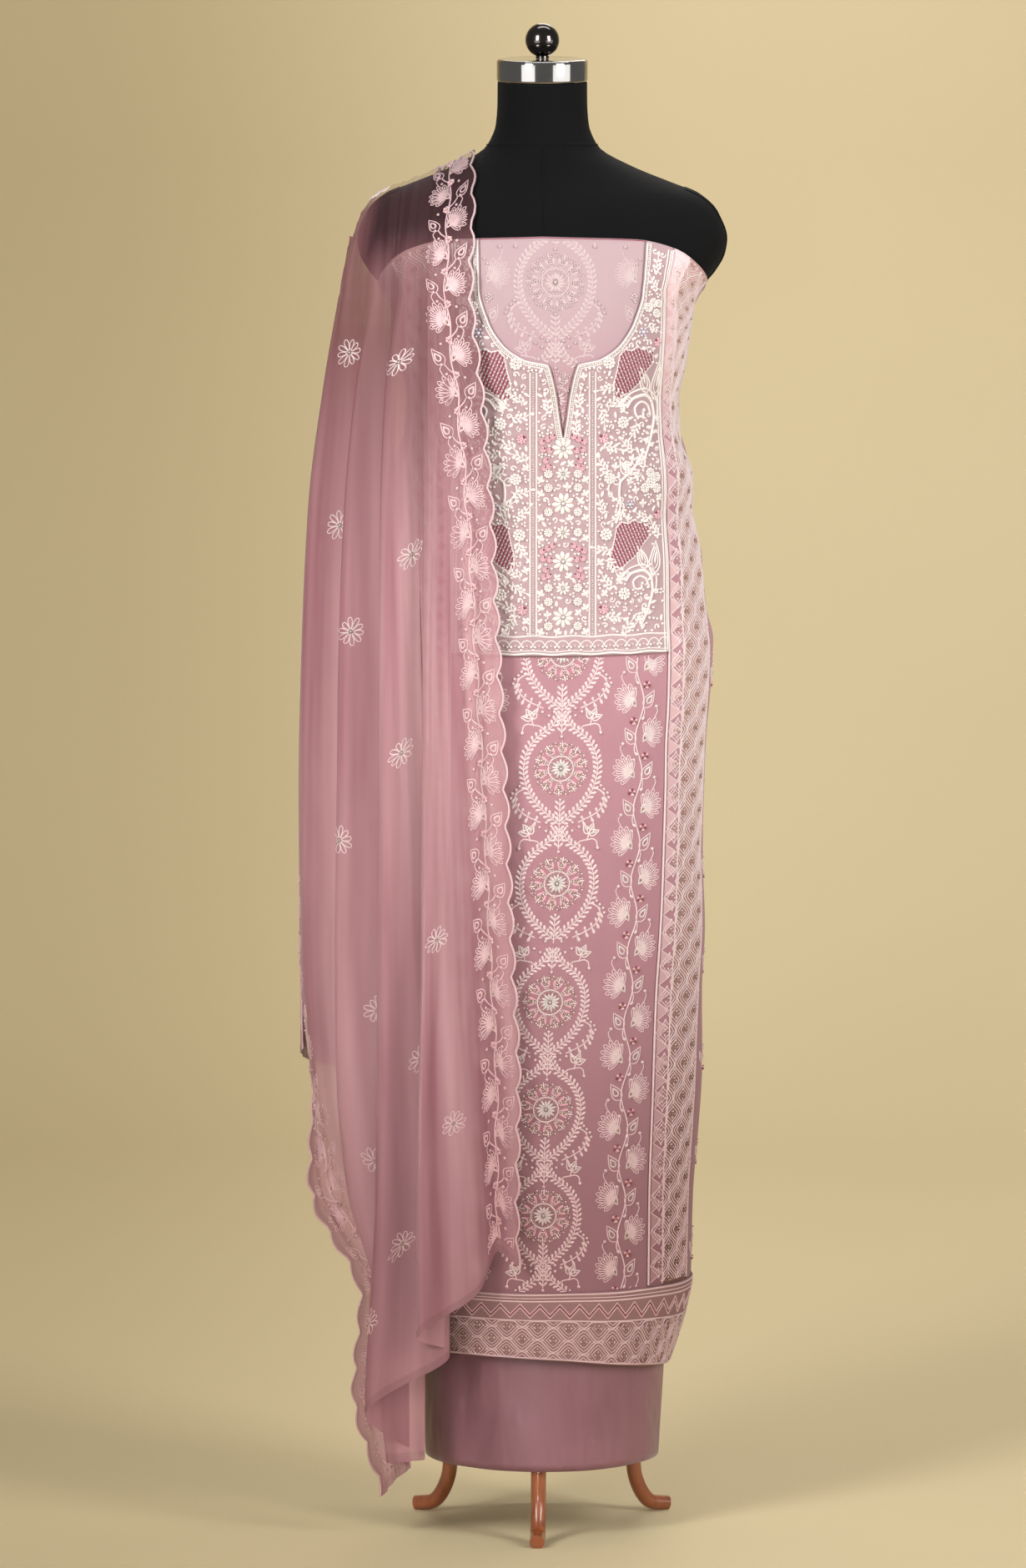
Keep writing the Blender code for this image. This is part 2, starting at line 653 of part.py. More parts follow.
# ---- the kameez --------------------------------------------------------------------------------


def edge_height(angle):
    return table_at(TOP_EDGE, abs((angle + 180.0) % 360.0 - 180.0), 1)


def hem_height(angle):
    turn = math.radians(angle)
    drop = HEM_SIDE_DROP * math.sin(turn) ** 2
    return HEM_MIDDLE - HEM_TILT * math.sin(turn) - drop


def row_heights(angle, levels):
    """The heights of the cloth's rows at one angle, from the upper edge to the hem."""
    top = edge_height(angle)
    upper = [top - share * (top - FLAT_BELOW_EDGE) for share in EDGE_ROWS]
    hem = hem_height(angle)
    return [*upper, *levels, (levels[-1] + hem) / 2, hem]


def nominal_heights(levels):
    return row_heights(0.0, levels)


def across_lines(ring, centre):
    """Distances across the front panel of its grid lines, from its left side to its right."""
    lines = []
    for side in (-1, 1):
        end = side_across(ring, centre, side)
        border = side * BORDER_OUTER
        outer = [border + share * (end - border) for share in SIDE_LINES]
        lines.append([side * line for line in PANEL_LINES[1:]] + outer)
    return [*reversed(lines[0]), 0.0, *lines[1]]


def panel_point(across, row, levels, lift):
    """A point of the front panel, moved out by lift from its inside."""
    height = nominal_heights(levels)[row]
    ring = kameez_ring(height)
    angle = angle_across(ring, table_at(CENTRE_LINE, height, 1), across)
    z = row_heights(angle, levels)[row]
    return on_ring(kameez_ring(z), angle, z, lift + folds_at(KAMEEZ_FOLDS, angle, z))


def panel_lines(row, levels):
    height = nominal_heights(levels)[row]
    return across_lines(kameez_ring(height), table_at(CENTRE_LINE, height, 1))


def make_front(collection, material):
    rows = len(nominal_heights(FRONT_LEVELS)) - 1
    columns = len(panel_lines(0, FRONT_LEVELS)) - 1

    def place(row, col):
        return panel_point(panel_lines(row, FRONT_LEVELS)[col], row, FRONT_LEVELS, 0.0)

    bm, _ = grid(rows, columns, place)
    mesh = mesh_from(bm, "kameez_front")
    facing(mesh, axis_point)
    return thicken(add_object(collection, "kameez_front", mesh, material), PANEL_T, 1.0)


def make_back(collection, material):
    heights = nominal_heights(BACK_LEVELS)
    gap = math.degrees(SEAM_GAP / SIDE_SEAM_R)
    start, end = SIDE_ANGLE + gap, 360.0 - SIDE_ANGLE - gap

    def place(row, col):
        angle = start + (end - start) * col / BACK_COLUMNS
        z = row_heights(angle, BACK_LEVELS)[row]
        return on_ring(kameez_ring(z), angle, z, folds_at(KAMEEZ_FOLDS, angle, z))

    bm, _ = grid(len(heights) - 1, BACK_COLUMNS, place)
    mesh = mesh_from(bm, "kameez_back")
    facing(mesh, axis_point)
    return thicken(add_object(collection, "kameez_back", mesh, material), PANEL_T, 1.0)


def make_border(collection, side, material):
    """The strip of zigzag and lattice work down one side of the front, above the hem band."""
    name = "side_border_" + ("left" if side < 0 else "right")
    lines = sorted(side * line for line in (BORDER_INNER, *PANEL_LINES) if line >= BORDER_INNER)
    rows = len(EDGE_ROWS) + len(FRONT_LEVELS) - 1

    def place(row, col):
        return panel_point(lines[col], row, FRONT_LEVELS, PANEL_T + TRIM_LIFT)

    bm, _ = grid(rows, len(lines) - 1, place)
    mesh = mesh_from(bm, name)
    facing(mesh, axis_point)
    return thicken(add_object(collection, name, mesh, material), TRIM_T, 1.0)


def make_hem_front(collection, material):
    """The band along the front hem, on the panel's own lines."""
    first = len(EDGE_ROWS) + len(FRONT_LEVELS) - 1
    columns = len(panel_lines(first, FRONT_LEVELS)) - 1
    drop = 2 * SEAM_GAP

    def place(row, col):
        across = panel_lines(first + row, FRONT_LEVELS)[col]
        x, y, z = panel_point(across, first + row, FRONT_LEVELS, PANEL_T + TRIM_LIFT)
        return (x, y, z - drop if row == 0 else z)

    bm, _ = grid(2, columns, place)
    mesh = mesh_from(bm, "hem_band_front")
    facing(mesh, axis_point)
    return thicken(add_object(collection, "hem_band_front", mesh, material), TRIM_T, 1.0)


def neck_half(z):
    return table_at(NECK_SHAPE, z, 1)


def yoke_point(across, row, levels):
    """A point of the yoke, which lies on the front panel."""
    nominal = levels[row]
    ring = kameez_ring(nominal)
    angle = angle_across(ring, table_at(CENTRE_LINE, nominal, 1), across)
    z = nominal
    if nominal > FLAT_BELOW_EDGE:
        share = (nominal - FLAT_BELOW_EDGE) / (levels[0] - FLAT_BELOW_EDGE)
        z = FLAT_BELOW_EDGE + share * (edge_height(angle) - FLAT_BELOW_EDGE)
    lift = PANEL_T + YOKE_LIFT + folds_at(KAMEEZ_FOLDS, angle, z)
    return on_ring(kameez_ring(z), angle, z, lift)


def make_yoke(collection, material):
    """The worked yoke: two halves that meet below the slit of its neck opening."""
    levels = (edge_height(0.0), *YOKE_LEVELS)
    whole = bmesh.new()
    for side in (-1, 1):

        def place(row, col, side=side):
            inner = neck_half(levels[row])
            share = col / YOKE_COLUMNS if side > 0 else 1 - col / YOKE_COLUMNS
            across = inner + (YOKE_HALF - inner) * share
            return yoke_point(side * across, row, levels)

        half, _ = grid(len(levels) - 1, YOKE_COLUMNS, place)
        bmesh.ops.recalc_face_normals(half, faces=half.faces)
        mesh = bpy.data.meshes.new("half")
        half.to_mesh(mesh)
        half.free()
        whole.from_mesh(mesh)
        bpy.data.meshes.remove(mesh)
    bmesh.ops.remove_doubles(whole, verts=whole.verts, dist=2 * WELD)
    mesh = mesh_from(whole, "front_yoke")
    facing(mesh, axis_point)
    return thicken(add_object(collection, "front_yoke", mesh, material), YOKE_T, 1.0)


# ---- the salwar cloth ----------------------------------------------------------------------------


def make_salwar(collection, material):
    """A tube of silk that hugs the form's hip and hangs below the kameez."""

    def place(row, col):
        z = SALWAR_LEVELS[row]
        angle = 360.0 * col / RING_STEPS
        return on_ring(salwar_ring(z), angle, z, folds_at(SALWAR_FOLDS, angle, z))

    bm, _ = grid(len(SALWAR_LEVELS) - 1, RING_STEPS, place)
    bmesh.ops.remove_doubles(bm, verts=bm.verts, dist=WELD)
    mesh = mesh_from(bm, "salwar_cloth")
    facing(mesh, axis_point)
    return thicken(add_object(collection, "salwar_cloth", mesh, material), SILK_T, 1.0)


# ---- the dupatta -----------------------------------------------------------------------------------


def ridge_height(x):
    """The height of the shoulder's top at this distance from the form's axis."""
    rings = [row for row in sorted(FORM_RINGS) if row[0] >= ARM_CAP_TOP]
    widths = [-row[1] for row in rings]
    return smooth_at(widths, [row[0] for row in rings], -min(abs(x), SHOULDER_END))


def form_depth(x, z, front):
    """How far the form reaches to the front or the back at this x and height."""
    half, ahead, behind = form_ring(z)
    inside = max(0.0, 1.0 - (x / half) ** 2)
    return (ahead if front else behind) * math.sqrt(inside)


def fold_values(table_x, table_y, levels, z):
    """The x and y of every fold line at height z."""
    rising = list(reversed(levels))
    xs = [smooth_at(rising, list(reversed(row[3])), z) for row in table_x]
    ys = [smooth_at(rising, list(reversed(row)), z) for row in table_y]
    return xs, ys


def drape_point(front, across, down):
    """A point of the dupatta: across its width, and down from the shoulder's top, both 0 to 1.

    Down to the first level it lies on the form's shoulder. Below that it hangs on its fold lines.
    """
    table_x = FRONT_FALL_X if front else BACK_FALL_X
    table_y = FRONT_FALL_Y if front else BACK_FALL_Y
    levels = FALL_LEVELS if front else BACK_FALL_LEVELS
    places = [row[0] for row in table_x]
    shoulder = smooth_at(places, [row[1] for row in table_x], across)
    hem = smooth_at(places, [row[2] for row in table_x], across)
    ridge = ridge_height(shoulder)
    first = levels[0]
    if down > ON_SHOULDER:
        z = first - (first - hem) * (down - ON_SHOULDER) / (1 - ON_SHOULDER)
        xs, ys = fold_values(table_x, table_y, levels, z)
        x, y = smooth_at(places, xs, across), smooth_at(places, ys, across)
        return (AXIS_X + x, AXIS_Y + y, z)
    share = down / ON_SHOULDER
    z = ridge - (ridge - first) * share ** DROP_CURVE
    xs, ys = fold_values(table_x, table_y, levels, first)
    end_x, end_y = smooth_at(places, xs, across), smooth_at(places, ys, across)
    x = shoulder + (end_x - shoulder) * ease(0.0, SWAY_END, share)
    sign = -1 if front else 1
    lift = SHOULDER_GAP * share ** 0.5 + CLOTH_UNDER * (1 - ease(UNDER_FULL, UNDER_FROM, z))
    lying = sign * (form_depth(x, z, front) + lift)
    hanging = end_y * share ** REACH_CURVE
    y = min(lying, hanging) if front else max(lying, hanging)
    out = SHOULDER_GAP * (1 - share)
    steep = STEEP_LEAST + (1 - STEEP_LEAST) * ease(*STEEP_OUT, abs(shoulder))
    return (AXIS_X + x - out * steep, AXIS_Y + y, z + out * (LIFT_SUM - steep))


def scallop(bm, verts, inward):
    """Cuts the edge through verts into scallops of one length that bulge away from inward."""
    for i in range(len(verts) - 1):
        start, end = verts[i], verts[i + 1]
        before, made = start, []
        length = (end.co - start.co).length
        count = max(1, round(length / SCALLOP))
        middle = (start.co + end.co) / 2 - (inward[i].co + inward[i + 1].co) / 2
        along = (end.co - start.co).normalized()
        out = (middle - along * middle.dot(along)).normalized()
        steps = 3 * count
        for step in range(1, steps):
            edge, start_side = bm.edges.get((before, end)), before
            share = 1.0 / (steps - step + 1)
            _, vert = bmesh.utils.edge_split(edge, start_side, share)
            before = vert
            made.append((vert, step / steps))
        for vert, share in made:
            vert.co = vert.co + out * SCALLOP_DEPTH * abs(math.sin(math.pi * count * share))


def fold_columns(table_x):
    """Places across the cloth of the grid's columns: a few in each fold."""
    places = [row[0] for row in table_x]
    lines = [places[0]]
    for start, end in zip(places, places[1:]):
        lines += [start + (end - start) * (i + 1) / COLUMNS_A_FOLD for i in range(COLUMNS_A_FOLD)]
    return lines


def make_fall(collection, name, front, rows, material):
    """The dupatta's front or back stretch, with both its long edges scalloped."""
    columns = fold_columns(FRONT_FALL_X if front else BACK_FALL_X)
    start = ON_SHOULDER * SHOULDER_SHARE + SHOULDER_PARTING

    def place(row, col):
        return drape_point(front, columns[col], start + (1 - start) * (row / rows) ** ROW_CROWDING)

    bm, verts = grid(rows, len(columns) - 1, place)
    scallop(bm, [row[0] for row in verts], [row[1] for row in verts])
    scallop(bm, [row[-1] for row in verts], [row[-2] for row in verts])
    mesh = mesh_from(bm, name)
    return thicken(add_object(collection, name, mesh, material), CHIFFON_T, 0.0)


def make_shoulder(collection, material):
    """The stretch of the dupatta that lies on the shoulder, from its front to its back."""
    end = ON_SHOULDER * SHOULDER_SHARE

    def place(row, col):
        share = 1 - row / SHOULDER_ROWS
        return drape_point(share >= 0, col / SHOULDER_COLUMNS, end * abs(share))

    bm, _ = grid(2 * SHOULDER_ROWS, SHOULDER_COLUMNS, place)
    mesh = mesh_from(bm, "dupatta_shoulder")
    return thicken(add_object(collection, "dupatta_shoulder", mesh, material), CHIFFON_T, 0.0)


# ---- all of it ---------------------------------------------------------------------------------


def main():
    clear_scene()
    suit = new_collection("salwar kameez suit")
    cutters = new_collection("cutters")

    jersey = make_material("black jersey", (0.006, 0.006, 0.007), 0.85)
    chrome = make_material("chrome", (0.62, 0.60, 0.58), 0.12, 1.0)
    wood = make_material("red-brown wood", (0.19, 0.055, 0.022), 0.30)
    georgette = make_material("rose georgette", (0.56, 0.28, 0.33), 0.80)
    worked = make_material("thread work", (0.80, 0.62, 0.60), 0.75)
    lattice = make_material("lattice work", (0.58, 0.38, 0.32), 0.70)
    silk = make_material("mauve silk", (0.38, 0.18, 0.21), 0.45)
    chiffon = make_material("pink chiffon", (0.62, 0.31, 0.35), 0.60)

    make_torso(suit, jersey)
    make_cap(suit, chrome)
    make_knob(suit, chrome)
    make_pole(suit, wood)
    make_hub(suit, wood)
    tools = make_cutters(cutters, wood)
    for side in LEG_ANGLES:
        make_leg(suit, tools, side, wood)

    make_front(suit, georgette)
    make_back(suit, georgette)
    make_yoke(suit, worked)
    make_border(suit, -1, lattice)
    make_border(suit, 1, lattice)
    make_hem_front(suit, lattice)
    make_salwar(suit, silk)

    make_fall(suit, "dupatta_front", True, FRONT_LENGTH_ROWS, chiffon)
    make_shoulder(suit, chiffon)
    make_fall(suit, "dupatta_back", False, BACK_LENGTH_ROWS, chiffon)


main()
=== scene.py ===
# %% [markdown]
# # A salwar kameez suit on a dress form
#
# An unstitched suit is sold as lengths of cloth, and a shop shows it draped and pinned on a
# limbless form. The kameez length is worked all over in pale thread, beads and sequins, the
# salwar length is plain silk, and the dupatta is sheer chiffon over one shoulder.
#
# The solids already hold the true shape of every cloth. This lesson lays a finer cloth on each
# of them, and then works the embroidery as real stitches: flat motifs, drawn once and wrapped
# round the cloth as an embroiderer would see them.

# %% Load the frame
import math
import random
from collections import namedtuple

import bmesh
import bpy
import numpy as np
from mathutils import Matrix, Vector
from mathutils.bvhtree import BVHTree


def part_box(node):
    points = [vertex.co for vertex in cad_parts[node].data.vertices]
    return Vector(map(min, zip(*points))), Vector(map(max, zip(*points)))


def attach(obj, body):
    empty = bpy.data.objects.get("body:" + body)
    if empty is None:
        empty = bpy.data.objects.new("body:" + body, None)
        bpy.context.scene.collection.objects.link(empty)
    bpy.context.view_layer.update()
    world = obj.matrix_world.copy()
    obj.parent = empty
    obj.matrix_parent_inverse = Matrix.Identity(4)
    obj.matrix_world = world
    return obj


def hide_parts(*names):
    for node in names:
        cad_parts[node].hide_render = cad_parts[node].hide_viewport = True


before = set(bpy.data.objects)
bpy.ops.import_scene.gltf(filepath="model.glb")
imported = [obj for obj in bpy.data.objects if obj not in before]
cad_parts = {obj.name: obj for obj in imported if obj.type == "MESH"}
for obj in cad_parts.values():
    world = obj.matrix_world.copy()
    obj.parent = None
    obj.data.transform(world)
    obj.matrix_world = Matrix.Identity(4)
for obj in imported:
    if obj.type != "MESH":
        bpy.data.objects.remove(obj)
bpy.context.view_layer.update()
MM = 0.001
pole_low, pole_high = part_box("stand_pole")
AXIS_X, AXIS_Y = ((pole_low[k] + pole_high[k]) / 2 for k in (0, 1))
print("the form's axis stands at", round(AXIS_X, 4), round(AXIS_Y, 4))

# %% [markdown]
# ## Reading sizes from short tables
#
# A dressmaker's form is measured as girths at a few heights, and the cloth that hangs on it as
# fold lines. Both are short tables here, in millimetres and degrees. Between their rows a curve
# runs that never overshoots a measured size, so a waist doesn't bulge between two rings.

# %% Smooth curves through a table


def smooth_at(xs, ys, x):
    """Values at x of a smooth curve through rising xs and their ys, or a column of ys for each x."""
    xs, ys, x = (np.asarray(values, float) for values in (xs, ys, x))
    steps = (np.diff(ys, axis=0).T / np.diff(xs)).T
    before, after = steps[:-1], steps[1:]
    same_way = before * after > 0
    total = np.where(same_way, before + after, 1.0)
    inner = np.where(same_way, 2 * before * after / total, 0.0)
    slopes = np.concatenate([steps[:1], inner, steps[-1:]])
    x = np.clip(x, xs[0], xs[-1])
    i = np.clip(np.searchsorted(xs, x, side="right") - 1, 0, len(xs) - 2)
    width = xs[i + 1] - xs[i]
    t = (x - xs[i]) / width
    low, high = ((i + k, np.arange(len(x))) if ys.ndim == 2 else i + k for k in (0, 1))
    start = (1 + 2 * t) * (1 - t) ** 2 * ys[low] + t * (1 - t) ** 2 * width * slopes[low]
    return start + t * t * (3 - 2 * t) * ys[high] + t * t * (t - 1) * width * slopes[high]


def ease(start, end, x):
    """0 before start, 1 after end and a smooth rise between."""
    t = np.clip((np.asarray(x, float) - start) / (end - start), 0.0, 1.0)
    return t * t * (3 - 2 * t)


def measures(rows, units=1000.0):
    """A table as an array that rises by its first column, in metres (and in degrees)."""
    rows = np.array(rows) / units
    return rows[np.argsort(rows[:, 0])]


def columns_at(table, key):
    """Smooth values of the table's other columns, where its first column is key."""
    found = np.array([smooth_at(table[:, 0], column, key) for column in table.T[1:]])
    return found[0] if len(found) == 1 else found


# %% [markdown]
# ## The rings of the form and of the cloth round it
#
# The same rings as in the solids: height, half width, depth to the front and depth to the back.
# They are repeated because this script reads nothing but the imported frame, and the cloth has to
# lie where its solid is.

# %% Rings
FORM_RINGS = measures((
    (1566, 48, 48, 48), (1543, 48.2, 48.2, 48.2), (1520, 50, 49.5, 50), (1507, 54.5, 51.5, 53),
    (1495, 62, 54, 58), (1474, 100, 60, 66), (1459, 137, 68, 74), (1445, 171, 77, 82),
    (1428, 188, 86, 90), (1399, 198, 96, 97), (1384, 196, 102, 100), (1364, 186, 108, 102),
    (1345, 170, 114, 103), (1320, 158, 120, 103), (1270, 150, 126, 100), (1220, 141, 120, 93),
    (1160, 132, 105, 87), (1110, 128, 96, 87), (1050, 138, 98, 96), (990, 156, 105, 109),
    (960, 163, 108, 114), (930, 166, 109, 116), (900, 166, 108, 115), (820, 160, 103, 108),
    (740, 154, 98, 101),
))
KAMEEZ_RINGS = measures((
    (1230, 144.5, 124.5, 98), (1195, 147.5, 124, 98), (1151, 161, 122.5, 99),
    (1134, 162.5, 121.5, 100), (1109, 159, 121, 101), (1054, 171.5, 122, 109),
    (1000, 175.5, 124, 118), (960, 183, 126, 125), (930, 182, 127, 128), (850, 176, 128, 129),
    (743, 173.5, 128, 128), (655, 175.5, 128.5, 128), (591, 172, 129, 128), (500, 170.5, 130, 129),
    (438, 166.5, 131, 130), (365, 161.5, 132, 130), (273, 160, 134, 130), (235, 153, 135, 129),
    (208, 145, 135, 128), (175, 134, 134, 127),
))
SALWAR_RINGS = measures((
    (860, 165, 108.5, 114), (780, 162, 112, 113), (600, 153, 115, 115), (400, 143, 119, 118),
    (240, 135, 122, 120), (170, 131, 124, 121), (78, 125.5, 125, 123),
))
TOP_EDGE = measures((  # angle from the front, height of the kameez's upper edge
    (0, 1408), (30, 1404), (45, 1393), (57, 1376), (68, 1362), (80, 1350), (95, 1340), (120, 1336),
    (180, 1334),
), (1, 1000))
CENTRE_LINE = measures((  # height, how far the panel's centre lies to the right of the form's
    (1410, 21.6), (960, 21.5), (840, 19.5), (720, 15.5), (600, 8.5), (480, 4), (370, 1.2), (200, 0),
))
NECK_SHAPE = measures((  # height, half width of the neck opening in the yoke
    (1408, 89), (1356, 88.5), (1321, 79), (1296, 63.5), (1280, 40), (1274, 15), (1195, 0),
))
PANEL_T, YOKE_T, TRIM_T, SILK_T = 0.0012, 0.0016, 0.0012, 0.0010
SEAM_GAP, TRIM_LIFT, YOKE_LIFT = 0.0003, 0.0003, 0.0011
KAMEEZ_GAP, SALWAR_GAP, FORM_BOTTOM = 0.0023, 0.0010, 0.740
LOOSE_FROM, HUG_ENDS = 1.210, 1.260
SALWAR_LOOSE_FROM, SALWAR_HUG_ENDS = 0.830, 0.890
SALWAR_TOP, SALWAR_FOOT = 0.960, 0.078
FLAT_BELOW_EDGE, LAST_LEVEL, EDGE_MIDDLE = 1.300, 0.275, 1.408
HEM_MIDDLE, HEM_TILT, HEM_SIDE_DROP = 0.202, 0.010, 0.012
YOKE_HALF, YOKE_FOOT, SIDE_ANGLE = 0.1195, 0.962, 99.0


def form_ring(z):
    return columns_at(FORM_RINGS, z)


def worn_ring(rings, z, gap, loose_from, hug_ends):
    """A ring of cloth that hugs the form above and hangs by its own rings below."""
    share = ease(loose_from, hug_ends, z)
    return share * (form_ring(z) + gap) + (1 - share) * columns_at(rings, z)


def kameez_ring(z):
    return worn_ring(KAMEEZ_RINGS, z, KAMEEZ_GAP, LOOSE_FROM, HUG_ENDS)


def salwar_ring(z):
    return worn_ring(SALWAR_RINGS, z, SALWAR_GAP, SALWAR_LOOSE_FROM, SALWAR_HUG_ENDS)


def on_ring(ring, angle, z, lift=0.0):
    """Points at these angles, 0 at the front and 90 at the viewer's right, moved out by lift."""
    half, front, back = ring
    turn = np.radians(angle)
    depth = np.where(np.cos(turn) > 0, front, back)
    out_x, out_y = np.sin(turn) / half, -np.cos(turn) / depth
    length = np.hypot(out_x, out_y)
    x = half * np.sin(turn) + lift * out_x / length
    y = -depth * np.cos(turn) + lift * out_y / length
    return np.stack(np.broadcast_arrays(AXIS_X + x, AXIS_Y + y, z), axis=-1)


print("the form is", round(2 * 1000 * form_ring(1.11)[0]), "mm wide at the waist")

# %% [markdown]
# ## Soft folds and drag lines
#
# Pinned cloth is never smooth. The broad folds are the solids' own. The finer ones are listed
# here one by one, each a soft trough or ridge along a short line on the cloth, with its own
# length, width and depth, and no two alike. A cutter would read them as strain lines that run
# from where the cloth is pinned.

# %% Folds and creases
FOLD_UNITS, CREASE_UNITS = (1, 1000, 1, 1000, 1000), (1, 1000, 1, 1000, 1000, 1000)
# angle, height, spread in angle, spread in height, depth
KAMEEZ_FOLDS = np.array((
    (84, 1180, 9, 50, -4.5), (70, 1050, 8, 60, -3), (93, 740, 6, 160, -4), (82, 460, 7, 140, 3),
    (-82, 1160, 9, 50, -4.5), (-92, 700, 7, 160, -4), (-78, 420, 8, 150, 3.5),
    (135, 620, 9, 260, -6), (158, 520, 8, 240, 5), (182, 600, 9, 280, -6), (206, 500, 8, 220, 4.5),
    (230, 640, 9, 260, -5.5),
)) / FOLD_UNITS
SALWAR_FOLDS = np.array((
    (-38, 200, 9, 160, -3), (22, 150, 8, 120, 2.2), (55, 200, 9, 150, -3), (118, 240, 10, 200, -5),
    (165, 220, 10, 200, 4.5), (212, 240, 10, 200, -5),
)) / FOLD_UNITS
# from angle and height, to angle and height, half width, depth
KAMEEZ_CREASES = np.array((
    (74, 1205, 98, 1150, 10, -2.2), (80, 1120, 99, 1165, 7, -1.6), (62, 1085, 96, 1030, 12, -1.6),
    (70, 1010, 99, 960, 11, 1.4), (40, 900, 84, 700, 15, -1.2), (22, 760, 30, 420, 18, 1.2),
    (46, 640, 52, 330, 16, -1.3), (66, 860, 72, 540, 13, 1.3), (88, 640, 92, 330, 10, -1.6),
    (4, 560, -6, 300, 20, -1), (-24, 900, -30, 620, 16, -1), (-50, 700, -58, 330, 15, 1.4),
    (-74, 1195, -98, 1145, 10, -2.2), (-70, 1060, -98, 1010, 12, -1.6),
    (-84, 840, -90, 520, 12, -1.5), (118, 1240, 150, 1130, 13, -2.2),
    (112, 1080, 140, 960, 12, 1.8), (124, 930, 128, 420, 15, -2.2), (146, 1000, 150, 520, 16, 2.2),
    (170, 1180, 176, 700, 14, -2), (192, 900, 196, 380, 16, 2.4), (214, 1220, 244, 1120, 13, -2.2),
    (218, 1020, 222, 500, 15, -2), (240, 820, 238, 400, 13, 1.8),
)) / CREASE_UNITS
SALWAR_CREASES = np.array((
    (52, 190, 78, 128, 7, -2), (44, 176, 66, 110, 6, 1.4), (60, 150, 84, 86, 7, -1.6),
    (28, 186, 52, 94, 8, -1.4), (-2, 200, 14, 82, 9, 1.2), (-22, 170, -34, 84, 8, -1.4),
    (-52, 190, -70, 90, 10, 1.6), (8, 135, 40, 120, 4, -0.7), (-12, 112, 20, 104, 4, 0.6),
    (96, 900, 92, 300, 14, -1.8), (128, 700, 134, 120, 13, 2.2), (150, 500, 146, 80, 12, -2.2),
    (178, 640, 186, 90, 14, 2), (206, 520, 200, 80, 12, -2.2), (236, 700, 242, 100, 13, 2),
    (268, 600, 262, 90, 12, -1.8),
)) / CREASE_UNITS
ROUND_R = 0.140  # about how far the cloth lies from the axis, to turn degrees into metres
CREASE_HALF, CREASE_END = 0.30, 0.16  # shares of a crease: how far it is full, and its soft end
CREASES_TOP, CREASES_FOOT = (1.36, 1.24), (0.20, 0.30)  # heights between which creases fade out


def turn_between(angle, centre):
    return (np.asarray(angle, float) - centre + 180.0) % 360.0 - 180.0


def moves(folds, creases, angle, z, free=1.0):
    """How far folds and creases move the cloth; a crease fades sideways and at its ends."""
    folded = creased = 0.0
    for centre, height, spread, tall, depth in folds:
        turn = turn_between(angle, centre)
        folded = folded + depth * np.exp(-((turn / spread) ** 2) - ((z - height) / tall) ** 2)
    for a0, z0, a1, z1, width, depth in creases:
        along = np.array([math.radians(a1 - a0) * ROUND_R, z1 - z0])
        length = np.hypot(*along)
        x = np.radians(turn_between(angle, a0)) * ROUND_R
        run = (x * along[0] + (z - z0) * along[1]) / length**2
        away = (x * along[1] - (z - z0) * along[0]) / length
        past = np.maximum(np.abs(run - 0.5) - CREASE_HALF, 0)
        end = np.exp(-((past / CREASE_END) ** 2))
        creased = creased + depth * np.exp(-((away / width) ** 2)) * end
    return folded + free * creased


def kameez_moves(angle, z):
    free = ease(*CREASES_TOP, z) * ease(*CREASES_FOOT, z)
    return moves(KAMEEZ_FOLDS, KAMEEZ_CREASES, angle, z, free)


print(len(KAMEEZ_CREASES), "creases on the kameez,", len(SALWAR_CREASES), "on the salwar cloth")

# %% [markdown]
# ## Cloth coordinates
#
# An embroiderer marks a panel flat: so far across from its centre line, and so high. The front
# panel keeps those two numbers, u and v, everywhere. panel_at bends them round the form, so a
# motif that was drawn flat lands on the cloth with its true size and its own thickness.

# %% Cloth coordinates of the front panel
PANEL_STEP = 0.004
PANEL_V = np.arange(0.198, 1.412, PANEL_STEP)
PANEL_U = np.arange(-0.300, 0.3001, PANEL_STEP)
ARC_ANGLES = np.arange(-120.0, 120.5, 1.0)


def panel_row(v):
    """Angles at PANEL_U across from the centre line, and how far off both side edges lie."""
    half, front, back = kameez_ring(v)
    turn = np.radians(ARC_ANGLES[:-1] + 0.5)
    depth = np.where(np.cos(turn) > 0, front, back)
    steps = np.radians(1.0) * np.hypot(half * np.cos(turn), depth * np.sin(turn))
    run = np.concatenate([[0.0], np.cumsum(steps)])
    run = run - run[len(run) // 2]
    centre = np.degrees(np.arcsin(columns_at(CENTRE_LINE, v) / half))
    left, middle, right = np.interp([-SIDE_ANGLE, centre, SIDE_ANGLE], ARC_ANGLES, run)
    return np.interp(middle + PANEL_U, run, ARC_ANGLES), (left - middle, right - middle)


panel_rows = [panel_row(v) for v in PANEL_V]
ANGLE_MAP = np.array([angles for angles, _ in panel_rows])
SIDE_MAP = np.array([sides for _, sides in panel_rows])


def bilinear(values, rows, cols):
    """Values of a grid between its points; rows and cols count in steps."""
    rows = np.clip(rows, 0, values.shape[0] - 1.001)
    cols = np.clip(cols, 0, values.shape[1] - 1.001)
    r, c = rows.astype(int), cols.astype(int)
    fr, fc = rows - r, cols - c
    if values.ndim == 3:
        fr, fc = fr[..., None], fc[..., None]
    low = values[r, c] * (1 - fc) + values[r, c + 1] * fc
    high = values[r + 1, c] * (1 - fc) + values[r + 1, c + 1] * fc
    return low * (1 - fr) + high * fr


